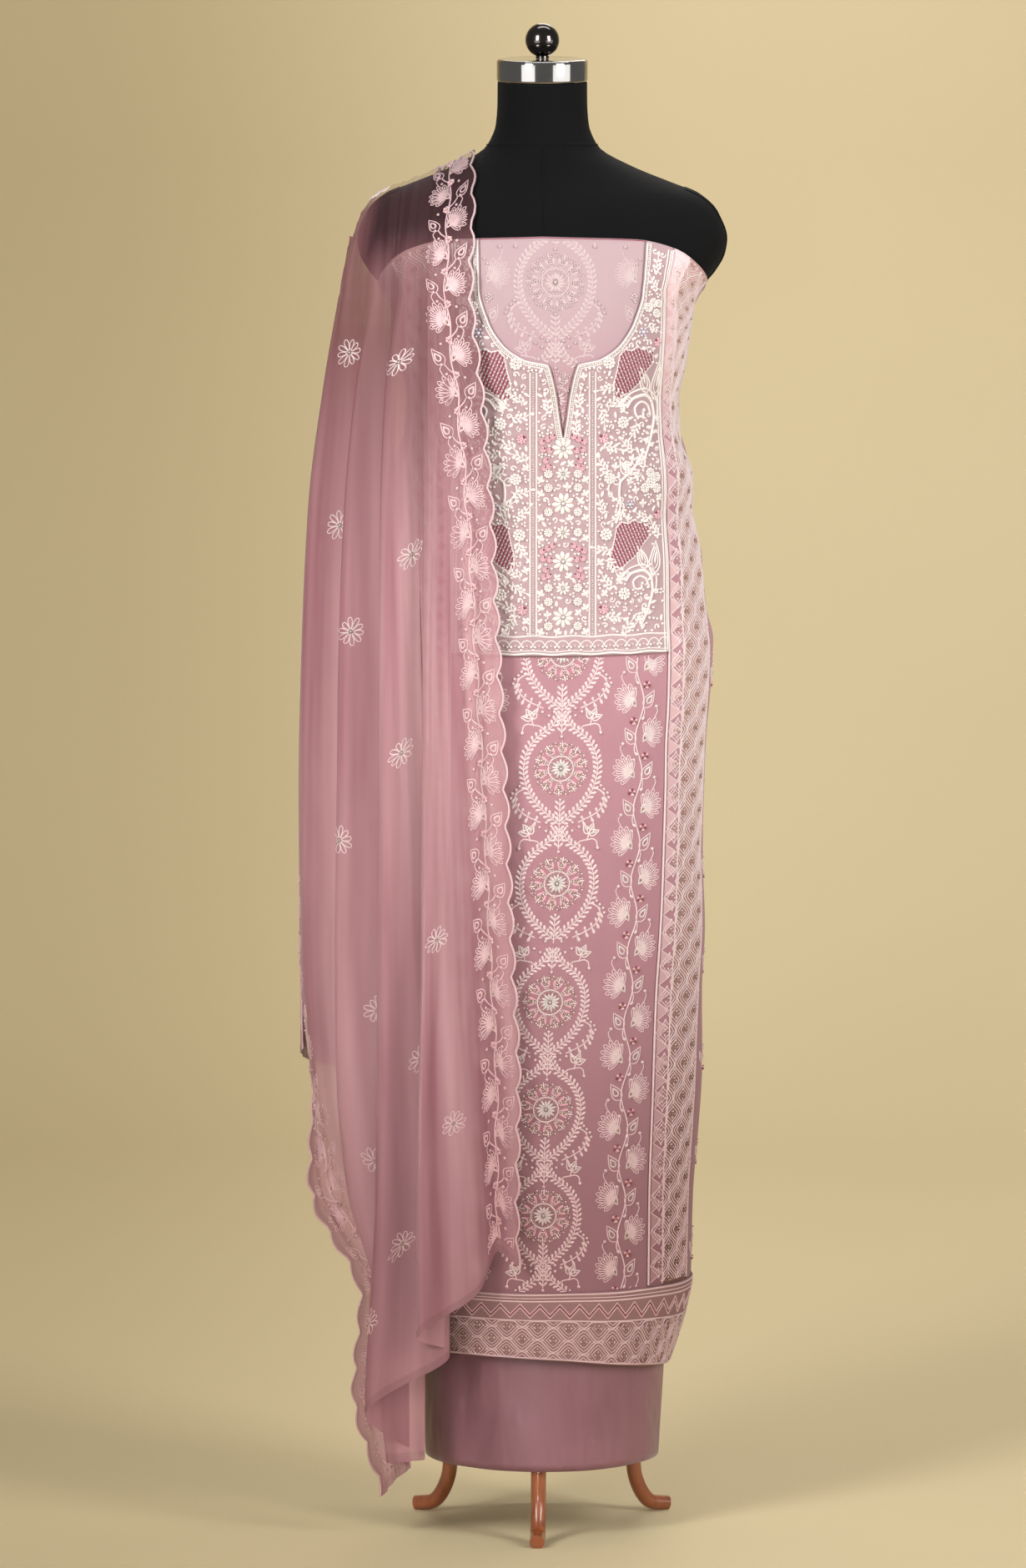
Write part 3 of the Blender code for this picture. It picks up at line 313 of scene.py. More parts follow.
def cloth_height(angle, v):
    """The height at which a point marked v lies, where the upper edge and the hem aren't level."""
    v, turn = np.asarray(v, float), np.radians(angle)
    edge = columns_at(TOP_EDGE, np.abs(turn_between(angle, 0.0)))
    hem = HEM_MIDDLE - HEM_TILT * np.sin(turn) - HEM_SIDE_DROP * np.sin(turn) ** 2
    upper = (v - FLAT_BELOW_EDGE) / (EDGE_MIDDLE - FLAT_BELOW_EDGE)
    lower = (LAST_LEVEL - v) / (LAST_LEVEL - HEM_MIDDLE)
    high = FLAT_BELOW_EDGE + upper * (edge - FLAT_BELOW_EDGE)
    low = LAST_LEVEL - lower * (LAST_LEVEL - hem)
    return np.where(v > FLAT_BELOW_EDGE, high, np.where(v < LAST_LEVEL, low, v))


def panel_at(u, v, lift):
    """Where the point (u, v) of the front panel lies, moved out from the cloth's inside."""
    rows = (np.asarray(v, float) - PANEL_V[0]) / (PANEL_V[1] - PANEL_V[0])
    cols = (np.asarray(u, float) - PANEL_U[0]) / (PANEL_U[1] - PANEL_U[0])
    angle = bilinear(ANGLE_MAP, rows, cols)
    z = cloth_height(angle, v)
    return on_ring(kameez_ring(z), angle, z, lift + kameez_moves(angle, z))


print("the panel is", round(1000 * (SIDE_MAP[150, 1] - SIDE_MAP[150, 0])), "mm wide at the hip")

# %% Cloth from a grid of points


def edit_mesh(mesh, change):
    """Changes a mesh, or makes a new one from a name, by bmesh operators."""
    mesh = bpy.data.meshes.new(mesh) if isinstance(mesh, str) else mesh
    bm = bmesh.new()
    bm.from_mesh(mesh)
    change(bm)
    bm.to_mesh(mesh)
    bm.free()
    return mesh


def weld(bm, dist=1e-6):
    bmesh.ops.remove_doubles(bm, verts=bm.verts, dist=dist)


def set_points(mesh, points):
    mesh.vertices.foreach_set("co", points.astype(np.float32).reshape(-1))
    mesh.update()


def cloth_mesh(name, points, uvs=None, close=False):
    """A grid of quads through rows of points, from the foot up and from left to right."""
    rows, cols = points.shape[:2]

    def make(bm):
        bm.loops.layers.uv.new("cloth")
        bmesh.ops.create_grid(bm, x_segments=cols - 1, y_segments=rows - 1, size=1.0)

    mesh = edit_mesh(name, make)
    set_points(mesh, points)
    if uvs is not None:
        loops = np.empty(len(mesh.loops), np.int32)
        mesh.loops.foreach_get("vertex_index", loops)
        flat = uvs.astype(np.float32).reshape(-1, 2)[loops]
        mesh.uv_layers["cloth"].data.foreach_set("uv", flat.reshape(-1))
    if close:
        edit_mesh(mesh, weld)
    mesh.shade_smooth()
    return mesh


def finish_piece(name, mesh, materials, slot, nodes=(), wall=0.0):
    """Puts a piece in the scene with its finish, its body and its wall, and hides the solids it stands
    for.
    """
    obj = bpy.data.objects.new(name, mesh)
    for material in materials:
        mesh.materials.append(material)
    bpy.context.scene.collection.objects.link(obj)
    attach(obj, "root")
    if nodes:
        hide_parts(*nodes)
    if wall:
        inside = obj.modifiers.new("wall", "SOLIDIFY")
        inside.thickness = wall
        inside.offset = -1.0
        inside.use_even_offset = False
    return obj


def cloth_piece(name, points, uvs, materials, slot, nodes, wall=0.0, close=False):
    return finish_piece(name, cloth_mesh(name, points, uvs, close), materials, slot, nodes, wall)


# %% [markdown]
# ## Finishes
#
# A finish here is a Principled shader with a little procedural work in front of it. Effects that
# come back are node groups: a plain weave, which lifts the threads over and under each other; soft
# clouds, which make the broad pale and dark patches of an uneven dye and, drawn out along the
# chiffon, the painted shade and light of its folds; painted light and shade by height, darker
# towards the hem and paler near the neck; and how much the chiffon covers. All read the cloth's own
# UV map or the object's coordinates, so they stay put when the camera moves.

# %% Node helpers


def plug(tree, value, socket):
    """Links another node's socket, or sets a plain value."""
    if isinstance(value, bpy.types.NodeSocket):
        tree.links.new(value, socket)
    else:
        socket.default_value = value


def add_node(tree, kind, settings=None, **inputs):
    """A shader node with its settings, and what goes into its named inputs."""
    node = tree.nodes.new("ShaderNode" + kind)
    for name, value in (settings or {}).items():
        setattr(node, name, value)
    for label, value in inputs.items():
        plug(tree, value, node.inputs[label.replace("_", " ")])
    return node


def new_group(name, inputs, outputs):
    """A node group with a vector and these numbers going in, and these numbers coming out."""
    tree = bpy.data.node_groups.new(name, "ShaderNodeTree")
    tree.interface.new_socket("Vector", in_out="INPUT", socket_type="NodeSocketVector")
    for label, value in inputs.items():
        socket = tree.interface.new_socket(label, in_out="INPUT", socket_type="NodeSocketFloat")
        socket.default_value = value
    for label in outputs:
        tree.interface.new_socket(label, in_out="OUTPUT", socket_type="NodeSocketFloat")
    inside, outside = tree.nodes.new("NodeGroupInput"), tree.nodes.new("NodeGroupOutput")
    return tree, inside.outputs, outside.inputs


def use_group(tree, group, **inputs):
    return add_node(tree, "Group", {"node_tree": group}, **inputs).outputs


def math_node(tree, operation, *values):
    node = add_node(tree, "Math", {"operation": operation})
    for socket, value in zip(node.inputs, values):
        plug(tree, value, socket)
    return node.outputs[0]


def mix_colours(tree, share, dark, pale, blend="MIX"):
    """A mix of two colours, each given as three numbers or as a socket."""
    node = add_node(tree, "Mix", {"data_type": "RGBA", "blend_type": blend}, Factor=share)
    for index, colour in ((6, dark), (7, pale)):
        plug(tree, (*colour, 1.0) if isinstance(colour, tuple) else colour, node.inputs[index])
    return node.outputs[2]


def ramp(tree, value, low, high, least, most, kind="SMOOTHSTEP"):
    node = add_node(tree, "MapRange", {"interpolation_type": kind}, From_Min=low, From_Max=high,
                    To_Min=least, To_Max=most, Value=value)
    return node.outputs["Result"]


def split_axes(tree, vector):
    node = add_node(tree, "SeparateXYZ")
    plug(tree, vector, node.inputs[0])
    return node.outputs


def noise(tree, vector, **inputs):
    return add_node(tree, "TexNoise", Vector=vector, **inputs).outputs["Fac"]


def bump(tree, height, strength, distance, **inputs):
    node = add_node(tree, "Bump", Strength=strength, Distance=distance, Height=height, **inputs)
    return node.outputs["Normal"]


def stretched(tree, vector, scale, **inputs):
    return add_node(tree, "Mapping", Vector=vector, Scale=scale, **inputs).outputs["Vector"]


def shaded(colour, share):
    return tuple(share * value for value in colour)


# %% The weave, the clouds, the painted light and shade by height and the chiffon's cover
weave_group, given, out = new_group("plain weave", {"Threads": 900.0}, ["Height"])
ups = []
for part in split_axes(weave_group, given["Vector"])[:2]:
    turns = math_node(weave_group, "MULTIPLY", part, given["Threads"])
    ups.append(math_node(weave_group, "SINE", math_node(weave_group, "MULTIPLY", turns, math.pi)))
crossing = math_node(weave_group, "MULTIPLY", *ups)
plug(weave_group, math_node(weave_group, "ABSOLUTE", crossing), out["Height"])

# Soft clouds: the broad patches of an uneven dye and, drawn out along the chiffon, its painted fold
# shade and light.
soft_cloud_group, given, out = new_group("uneven dye", {"Scale": 6.0}, ["Mask"])
clouds = noise(soft_cloud_group, given["Vector"], Detail=3.0, Scale=given["Scale"])
plug(soft_cloud_group, ramp(soft_cloud_group, clouds, 0.30, 0.70, 0.0, 1.0, "LINEAR"), out["Mask"])

# Masks for painted light and shade by height: painted shade below the waist, painted light near the
# neck and painted shade on the shoulder.
HEIGHTS = {"Low": (0.95, 0.25), "High": (1.15, 1.36), "Shoulder": (1.38, 1.48)}
painted_light_group, given, out = new_group("height tone", {}, HEIGHTS)
height = split_axes(painted_light_group, given["Vector"])[2]
for label, (foot, head) in HEIGHTS.items():
    plug(painted_light_group, ramp(painted_light_group, height, foot, head, 0.0, 1.0), out[label])

cover_group, given, out = new_group("cover of the chiffon", {}, ["Cover", "Fall"])
across, along, _ = split_axes(cover_group, given["Vector"])
away = math_node(cover_group, "ABSOLUTE", along)
spread_out = ramp(cover_group, away, 0.055, 0.105, 0.15, 0.70)
gathered = ramp(cover_group, away, 0.07, 0.18, 0.15, 0.82)
inward = ramp(cover_group, across, 0.13, 0.34, 0.2, 1.0)
most = math_node(cover_group, "MAXIMUM", spread_out,
                 math_node(cover_group, "MULTIPLY", gathered, inward))
edge = ramp(cover_group, across, 0.33, 0.50, 0.0, 0.72)
plug(cover_group, math_node(cover_group, "MAXIMUM", most, edge), out["Cover"])
plug(cover_group, ramp(cover_group, away, 0.12, 0.42, 0.0, 1.0), out["Fall"])


def new_material(name, roughness, **inputs):
    """A material's tree, its shader's inputs and where its cloth or object coordinates are."""
    material = bpy.data.materials.new(name)
    material.use_nodes = True
    tree = material.node_tree
    shader = tree.nodes["Principled BSDF"].inputs
    for label, value in dict(inputs, Roughness=roughness).items():
        shader[label.replace("_", " ")].default_value = value
    return material, tree, shader, add_node(tree, "TexCoord").outputs


def shade_painted_below(tree, place, colour, foot):
    """The colour with painted shade below the waist: toned down by foot's shares of red, green and
    blue.
    """
    height = use_group(tree, painted_light_group, Vector=place["Object"])
    return mix_colours(tree, height["Low"], colour,
                       mix_colours(tree, 1.0, colour, foot, "MULTIPLY"))


def cloth_material(name, dark, pale, threads, roughness=0.8, bumps=0.25, foot=None, top=None,
                   crumple=0.0, **inputs):
    """Woven cloth: two close tones in clouds, the threads of its weave, and painted light by height:
    painted shade low down and painted light near the top.
    """
    material, tree, shader, place = new_material(name, roughness, **inputs)
    clouds = use_group(tree, soft_cloud_group, Scale=6.0, Vector=place["Object"])["Mask"]
    weave = use_group(tree, weave_group, Threads=threads, Vector=place["UV"])["Height"]
    tone = mix_colours(tree, clouds, dark, pale)
    blend = mix_colours(tree, 0.55, tone, mix_colours(tree, weave, shaded(pale, 0.86), tone))
    # foot paints shade towards the hem, and top paints light near the neck.
    if foot or top:
        height = use_group(tree, painted_light_group, Vector=place["Object"])
        deep = tuple(share * value for share, value in zip(foot or (1.0, 1.0, 1.0), dark))
        blend = mix_colours(tree, height["Low"], blend, deep)
        blend = mix_colours(tree, height["High"], blend, top or pale)
    plug(tree, blend, shader["Base Color"])
    normal = {}
    if crumple:
        slant = stretched(tree, place["Object"], (16.0, 10.0, 5.0), Rotation=(0.0, 0.5, 0.0))
        soft = use_group(tree, soft_cloud_group, Scale=1.0, Vector=slant)["Mask"]
        normal["Normal"] = bump(tree, soft, 1.0, crumple)
    plug(tree, bump(tree, weave, bumps, 0.0004, **normal), shader["Normal"])
    return material


# %% [markdown]
# ### The suit's cloths
#
# Georgette is a matt crepe, so it is nearly all diffuse with a faint sheen. The plain silk shines
# along its folds. Chiffon is see-through: a plain alpha lets the darker form and the worked panel
# show under it, and it covers more where it lies in folds.

# %% Cloth finishes
SHEEN = {"Sheen_Weight": 0.2, "Sheen_Roughness": 0.5}
# Where a cloth has foot and top colours, they are painted light: foot is painted shade towards the hem,
# top is painted light near the neck and the strips' upper ends.
georgette = cloth_material(
    "rose georgette", (0.420, 0.200, 0.242), (0.490, 0.250, 0.294), 900, 0.82,
    foot=(0.46, 0.40, 0.38), top=(0.480, 0.340, 0.360), **SHEEN)
yoke_cloth = cloth_material(
    "worked yoke ground", (0.430, 0.285, 0.310), (0.500, 0.345, 0.360), 900, **SHEEN)
strip_cloth = cloth_material(
    "strip ground", (0.450, 0.222, 0.270), (0.520, 0.272, 0.316), 900,
    foot=(0.42, 0.30, 0.32), top=(0.860, 0.620, 0.640), **SHEEN)
lattice_cloth = cloth_material(
    "lattice ground", (0.410, 0.222, 0.212), (0.490, 0.282, 0.268), 1100, 0.72, bumps=0.5,
    foot=(0.34, 0.25, 0.24), top=(0.560, 0.340, 0.325))
organza = cloth_material(
    "pale organza", (0.690, 0.440, 0.470), (0.770, 0.510, 0.530), 1400, 0.5, bumps=0.15,
    foot=(0.40, 0.32, 0.32))
hem_cloth = cloth_material(
    "hem ground", (0.200, 0.095, 0.095), (0.245, 0.124, 0.120), 1100, 0.7, bumps=0.4)
silk = cloth_material(
    "mauve silk", (0.142, 0.056, 0.071), (0.250, 0.110, 0.133), 1500, 0.46, bumps=0.12,
    crumple=0.006, Sheen_Weight=0.25, Sheen_Roughness=0.35)
jersey = cloth_material(
    "black jersey", (0.0030, 0.0030, 0.0034), (0.0050, 0.0050, 0.0056), 1300, 0.9, bumps=0.3,
    Sheen_Weight=0.04, Sheen_Roughness=0.5, Specular_IOR_Level=0.12)

# Chiffon: see-through over the shoulder, closer in the falls, with painted fold shade and light in
# streaks along it.
chiffon, tree, shader, place = new_material(
    "pink chiffon", 0.62, Sheen_Weight=0.2, Sheen_Roughness=0.4)
painted_fold_shade = stretched(tree, place["UV"], (26.0, 1.5, 1.0))
painted_fold_shade = use_group(tree, soft_cloud_group, Scale=1.0, Vector=painted_fold_shade)["Mask"]
cover = use_group(tree, cover_group, Vector=place["UV"])
tone = mix_colours(tree, painted_fold_shade, (0.330, 0.110, 0.142), (0.740, 0.430, 0.465))
# Painted shade: on the shoulder the chiffon takes a much deeper colour, for the light the sheer layer
# holds back from the cloth under it.
tone = mix_colours(tree, cover["Fall"], (0.250, 0.092, 0.105), tone)
# Painted shade: the chiffon is darker towards its foot, as the light falls off towards the floor.
plug(tree, shade_painted_below(tree, place, tone, (0.56, 0.48, 0.49)), shader["Base Color"])
plug(tree, cover["Cover"], shader["Alpha"])

# %% [markdown]
# ### Threads and beads
#
# Silk thread in satin stitch has a soft gloss along the stitches. A fine noise over it breaks the
# light up as separate strands do. Beads and sequins are small hard glints, and each one's own
# spot of noise makes it a little paler or darker.

# %% Thread and bead finishes
# Painted shade: threads and beads are toned down below the waist by these shares, as the light falls
# off towards the hem.
THREAD_PAINTED_SHADE = (0.64, 0.51, 0.50)


def thread_material(name, colour, over_black=None):
    material, tree, shader, place = new_material(
        name, 0.55, Sheen_Weight=0.3, Sheen_Roughness=0.4)
    strands = noise(tree, place["Object"], Scale=900.0, Detail=1.0)
    tone = mix_colours(tree, strands, shaded(colour, 0.80), colour)
    # Painted shade: on the shoulder, where it faces the lights, the thread is toned towards a darker
    # colour.
    if over_black:
        height = use_group(tree, painted_light_group, Vector=place["Object"])
        tone = mix_colours(tree, height["Shoulder"], tone, over_black)
    plug(tree, shade_painted_below(tree, place, tone, THREAD_PAINTED_SHADE), shader["Base Color"])
    plug(tree, bump(tree, strands, 0.4, 0.0003), shader["Normal"])
    return material


def bead_material(name, colour, roughness, metallic, **inputs):
    material, tree, shader, place = new_material(name, roughness, Metallic=metallic, **inputs)
    spots = noise(tree, place["Object"], Scale=400.0)
    tone = mix_colours(tree, spots, shaded(colour, 0.55), colour)
    plug(tree, shade_painted_below(tree, place, tone, THREAD_PAINTED_SHADE), shader["Base Color"])
    return material


CREAM, PALE, ROSE, WINE, SILVER, GOLD, PEARL, CRYSTAL, BLUSH = range(9)
THREADS = [
    thread_material("cream thread", (0.92, 0.85, 0.81)),
    thread_material("pale pink thread", (0.86, 0.71, 0.71)),
    thread_material("rose thread", (0.86, 0.50, 0.56)),
    thread_material("wine thread", (0.30, 0.045, 0.085)),
    bead_material("silver bead", (0.88, 0.83, 0.80), 0.26, 0.35),
    bead_material("antique gold bead", (0.60, 0.44, 0.30), 0.30, 0.35),
    bead_material("pearl bead", (0.90, 0.85, 0.80), 0.22, 0.0, Coat_Weight=0.6),
    bead_material("crystal", (0.90, 0.88, 0.97), 0.06, 0.1, Coat_Weight=1.0),
    # The blush thread carries painted shade where it lies on the shoulder.
    thread_material("blush thread", (0.82, 0.59, 0.61), over_black=(0.44, 0.30, 0.31)),
]

# %% Metal and wood


def metal_material(name, colour, roughness):
    """Polished metal with fine haze marks that change its gloss."""
    material, tree, shader, place = new_material(name, roughness, Metallic=1.0)
    haze = noise(tree, place["Object"], Scale=60.0)
    gloss = ramp(tree, haze, 0.0, 1.0, 0.6 * roughness, 1.5 * roughness, "LINEAR")
    plug(tree, gloss, shader["Roughness"])
    plug(tree, mix_colours(tree, haze, shaded(colour, 0.9), colour), shader["Base Color"])
    return material


chrome = metal_material("chrome", (0.46, 0.45, 0.44), 0.09)
dark_chrome = metal_material("dark chrome", (0.115, 0.105, 0.10), 0.14)

# Wood: dark veins that run along the leg, under a clear coat of polish.
wood, tree, shader, place = new_material(
    "red-brown wood", 0.32, Coat_Weight=0.5, Coat_Roughness=0.12)
veins = stretched(tree, place["Object"], (1.0, 1.0, 0.25))
veins = noise(tree, veins, Scale=90.0, Detail=4.0, Distortion=1.2)
tone = mix_colours(tree, veins, (0.110, 0.024, 0.008), (0.400, 0.120, 0.042))
plug(tree, tone, shader["Base Color"])
print(len(bpy.data.materials), "finishes")

# %% [markdown]
# ## The dress form
#
# A shop's form is a hard shell under stretched black jersey. Its seams are felled and stand
# slightly proud: one round the base of the neck, one down the front and back, and one round each
# arm plate. The shell is a grid through the same rings as the solid, with far more rows.

# %% The form's shell and seams
# rows and columns of each cloth's grid
FORM_GRID, SALWAR_GRID, FRONT_GRID, BACK_GRID = (150, 120), (110, 150), (240, 110), (150, 72)
STRIP_GRID, HEM_GRID, YOKE_COLUMNS = (210, 20), (24, 150), 30
YOKE_LEVELS = np.concatenate([  # the rows are closest where the neck's line turns
    np.linspace(YOKE_FOOT, 1.190, 60), np.linspace(1.191, 1.300, 80)[1:],
    np.linspace(1.300, EDGE_MIDDLE, 40)[1:]])[:, None]
SILK_WALL, GEORGETTE_WALL, YOKE_WALL = 0.0006, 0.0007, 0.0009
SHARP, SHARP_ON_LATHE = math.radians(50), math.radians(35)


def form_at(angle, z, lift=0.0):
    return on_ring(form_ring(z), angle, z, lift)


def tube_points(place, low, high, rows, columns):
    """Rows of points all round from the foot up, with uvs in metres."""
    z, angle = np.meshgrid(
        np.linspace(low, high, rows + 1), np.linspace(0, 360, columns + 1), indexing="ij")
    return place(angle, z), np.stack([np.radians(angle) * ROUND_R, z], axis=-1)


form = cloth_piece("form_shell", *tube_points(form_at, FORM_BOTTOM, FORM_RINGS[-1, 0], *FORM_GRID),
                   [jersey], "jersey", ["form_torso"], close=True)
edit_mesh(form.data, lambda bm: bmesh.ops.holes_fill(
    bm, edges=[edge for edge in bm.edges if edge.is_boundary], sides=0))
form.data.set_sharp_from_angle(angle=SHARP)


def tube_along(name, lines, radius, sides=1):
    """One mesh of round cords: a curve with a bevel through each line's points."""
    curve = bpy.data.curves.new(name, "CURVE")
    curve.dimensions = "3D"
    curve.bevel_depth = radius
    curve.bevel_resolution = sides
    curve.use_fill_caps = True
    for line in lines:
        spline = curve.splines.new("POLY")
        spline.points.add(len(line) - 1)
        flat = np.concatenate([line, np.ones((len(line), 1))], axis=1)
        spline.points.foreach_set("co", flat.astype(np.float32).reshape(-1))
    guide = bpy.data.objects.new(name + "_guide", curve)
    bpy.context.scene.collection.objects.link(guide)
    graph = bpy.context.evaluated_depsgraph_get()
    mesh = bpy.data.meshes.new_from_object(guide.evaluated_get(graph))
    mesh.name = name
    bpy.data.objects.remove(guide, do_unlink=True)
    mesh.materials.clear()
    mesh.shade_smooth()
    return mesh


NECK_SEAM_Z, ARM_SEAM_ANGLE, SEAM_R = 1.499, 78.0, 0.0011
ARM_SEAM_TOP, ARM_SEAM_DROP = 1.452, 0.118
turn_round = np.linspace(0, 360, 121)
neck_seam = form_at(turn_round, NECK_SEAM_Z + 0.004 * np.cos(np.radians(turn_round)))
down_body = np.linspace(NECK_SEAM_Z, FORM_BOTTOM + 0.002, 140)
seam_lines = [neck_seam] + [form_at(angle, down_body) for angle in (0.5, 180.0)]
drop = np.linspace(0, 1, 60)
for side in (-1, 1):
    lean = ARM_SEAM_ANGLE + 10 * np.sin(np.pi * drop) - 6 * drop
    behind = 180 - ARM_SEAM_ANGLE - 6 * np.sin(np.pi * drop)
    heights = ARM_SEAM_TOP - ARM_SEAM_DROP * drop
    seam_lines += [form_at(side * angle, heights) for angle in (lean, behind)]
finish_piece("form_seams", tube_along("form_seams", seam_lines, SEAM_R), [jersey], "jersey")
print("form:", len(form.data.polygons), "faces and", len(seam_lines), "seams")

# %% [markdown]
# ## Neck cap, knob, pole, hub and legs
#
# All but the legs are turned on a lathe, so each is half a profile spun round the axis. The legs
# are steamed and bent, and a curve with a round bevel gives just that.

# %% Turned pieces
CAP_R, CAP_BOTTOM, CAP_TOP, CAP_ROUND = 0.0488, 1.5663, 1.5910, 0.0035
KNOB_R, KNOB_STEM_R, KNOB_STEM = 0.0182, 0.0070, 0.0030
POLE_R, HUB_TOP, HUB_BOTTOM, HUB_R, HUB_EDGE = 0.0160, 0.1750, 0.1150, 0.0300, 0.0040
LATHE_STEPS = 64


def spun(name, profile, material, slot, node):
    """A turned piece: the profile's points, from the axis at the top to the axis at the foot."""
    def turn(bm):
        verts = [bm.verts.new((AXIS_X + r, AXIS_Y, z)) for r, z in profile]
        edges = [bm.edges.new(pair) for pair in zip(verts, verts[1:])]
        bmesh.ops.spin(bm, geom=verts + edges, cent=(AXIS_X, AXIS_Y, 0), axis=(0, 0, 1),
                       angle=math.tau, steps=LATHE_STEPS, use_merge=True)
        weld(bm)
        bmesh.ops.recalc_face_normals(bm, faces=bm.faces)

    mesh = edit_mesh(name, turn)
    mesh.shade_smooth()
    mesh.set_sharp_from_angle(angle=SHARP_ON_LATHE)
    return finish_piece(name, mesh, [material], slot, [node])


def arc(centre, radius, start, end, count):
    turns = np.radians(np.linspace(start, end, count + 1))
    return [(centre[0] + radius * math.cos(t), centre[1] + radius * math.sin(t)) for t in turns]


upper = arc((CAP_R - CAP_ROUND, CAP_TOP - CAP_ROUND), CAP_ROUND, 90, 0, 8)
lower = arc((CAP_R - CAP_ROUND, CAP_BOTTOM + CAP_ROUND), CAP_ROUND, 0, -90, 8)
spun("cap", [(0, CAP_TOP), *upper, *lower, (0, CAP_BOTTOM)], chrome, "chrome", "neck_cap")

seat = CAP_TOP + SEAM_GAP
reach = math.degrees(math.acos(KNOB_STEM_R / KNOB_R))
ball_centre = (0, seat + KNOB_STEM + KNOB_R * math.sin(math.radians(reach)))
ball = arc(ball_centre, KNOB_R, 90, -reach, 24)
spun("knob", [(0, ball[0][1]), *ball[1:], (KNOB_STEM_R, seat), (0, seat)],
     dark_chrome, "chrome", "neck_knob")

pole_top, pole_foot = FORM_BOTTOM - SEAM_GAP, HUB_TOP + SEAM_GAP
spun("pole", [(0, pole_top), (POLE_R, pole_top), (POLE_R, pole_foot), (0, pole_foot)],
     wood, "wood", "stand_pole")
spun("hub", [(0, HUB_TOP), (HUB_R * 0.72, HUB_TOP), (HUB_R, HUB_TOP - 0.010),
             (HUB_R, HUB_BOTTOM + HUB_EDGE), (HUB_R - HUB_EDGE, HUB_BOTTOM), (0, HUB_BOTTOM)],
     wood, "wood", "stand_hub")

# %% Bent legs
LEG_R = 0.0082
LEG_ANGLES = {"front": -92.0, "left": 151.0, "right": 29.0}
LEG_LINE = measures((  # distance from the pole's axis, height
    (30.5, 145), (60, 143), (88, 130), (106, 105), (113, 75), (115, 48), (123, 25), (137, 10.2),
    (157, 6.8),
))


def stand_on_floor(bm):
    weld(bm)
    for vert in bm.verts:
        vert.co.z = max(vert.co.z, 0.0)
    bmesh.ops.recalc_face_normals(bm, faces=bm.faces)


runs = np.arange(len(LEG_LINE))
reach, height = (smooth_at(runs, column, np.linspace(0, runs[-1], 61)) for column in LEG_LINE.T)
for side, turn in LEG_ANGLES.items():
    turn = math.radians(turn)
    line = np.stack([AXIS_X + reach * math.cos(turn), AXIS_Y + reach * math.sin(turn), height], 1)
    mesh = edit_mesh(tube_along("leg_" + side, [line], LEG_R, sides=5), stand_on_floor)
    mesh.shade_smooth()
    mesh.set_sharp_from_angle(angle=SHARP)
    finish_piece("leg_" + side, mesh, [wood], "wood", ["stand_leg_" + side])
print("the stand reaches", round(LEG_LINE[-1, 0], 3), "m from its pole")

# %% [markdown]
# ## The salwar length
#
# Plain silk, pinned round the hips and left to hang. It is a tube that hugs the form above and
# swings in below, with drag lines where it was pulled round at the right.

# %% The salwar cloth


def salwar_outside(angle, z):
    return on_ring(salwar_ring(z), angle, z,
                   SILK_T + moves(SALWAR_FOLDS, SALWAR_CREASES, angle, z))


points, uvs = tube_points(salwar_outside, SALWAR_FOOT, SALWAR_TOP, *SALWAR_GRID)
salwar = cloth_piece("salwar_silk", points, uvs, [silk], "silk", ["salwar_cloth"], SILK_WALL, True)

# %% [markdown]
# ## The kameez lengths
#
# The front length is worked; the back is plain. Each is one grid from its hem to its upper edge
# and from side seam to side seam, so the two meet at the sides with a hair's gap, as two lengths
# that are pinned edge to edge.

# %% Front and back of the kameez


def panel_grid(rows, columns, low, high, left, right, lift):
    """Points of the front panel between two heights and two lines across, with their uvs."""
    v = np.linspace(low, high, rows + 1)[:, None]
    start, end = (line(v) if callable(line) else line for line in (left, right))
    u = start + (end - start) * np.linspace(0, 1, columns + 1)[None, :]
    u, v = np.broadcast_arrays(u, v)
    return panel_at(u, v, lift), np.stack([u, v], axis=-1)


def left_side(v):
    return np.interp(v, PANEL_V, SIDE_MAP[:, 0])


def right_side(v):
    return np.interp(v, PANEL_V, SIDE_MAP[:, 1])


front = cloth_piece(
    "kameez_front_cloth",
    *panel_grid(*FRONT_GRID, HEM_MIDDLE, EDGE_MIDDLE, left_side, right_side, PANEL_T),
    [georgette], "georgette", ["kameez_front"], GEORGETTE_WALL)

SIDE_R = 0.13  # how far the side seams lie from the axis
back_from = SIDE_ANGLE + math.degrees(SEAM_GAP / SIDE_R)
angle, v = np.meshgrid(np.linspace(back_from, 360 - back_from, BACK_GRID[1] + 1),
                       np.linspace(HEM_MIDDLE, EDGE_MIDDLE, BACK_GRID[0] + 1))
z = cloth_height(angle, v)
points = on_ring(kameez_ring(z), angle, z, PANEL_T + kameez_moves(angle, z))
back = cloth_piece("kameez_back_cloth", points, np.stack([np.radians(angle) * ROUND_R, v], -1),
                   [georgette], "georgette", ["kameez_back"], GEORGETTE_WALL)

# %% [markdown]
# ## Applied grounds
#
# The yoke, the side strips and the hem band are separate worked pieces, laid on the front length
# and sewn down. Each is a thin cloth of its own on the same coordinates, a little further out.

# %% Yoke, side strips and hem band
YOKE_OUT = PANEL_T + YOKE_LIFT + YOKE_T
TRIM_OUT = PANEL_T + TRIM_LIFT + TRIM_T
PIPING_LINE, STRIP_FOOT = LAST_LEVEL - 0.0006, LAST_LEVEL
BORDER_INNER, BORDER_OUTER, LATTICE_FROM = 0.1205, 0.1920, 0.1390


def neck_half(v):
    return columns_at(NECK_SHAPE, v)


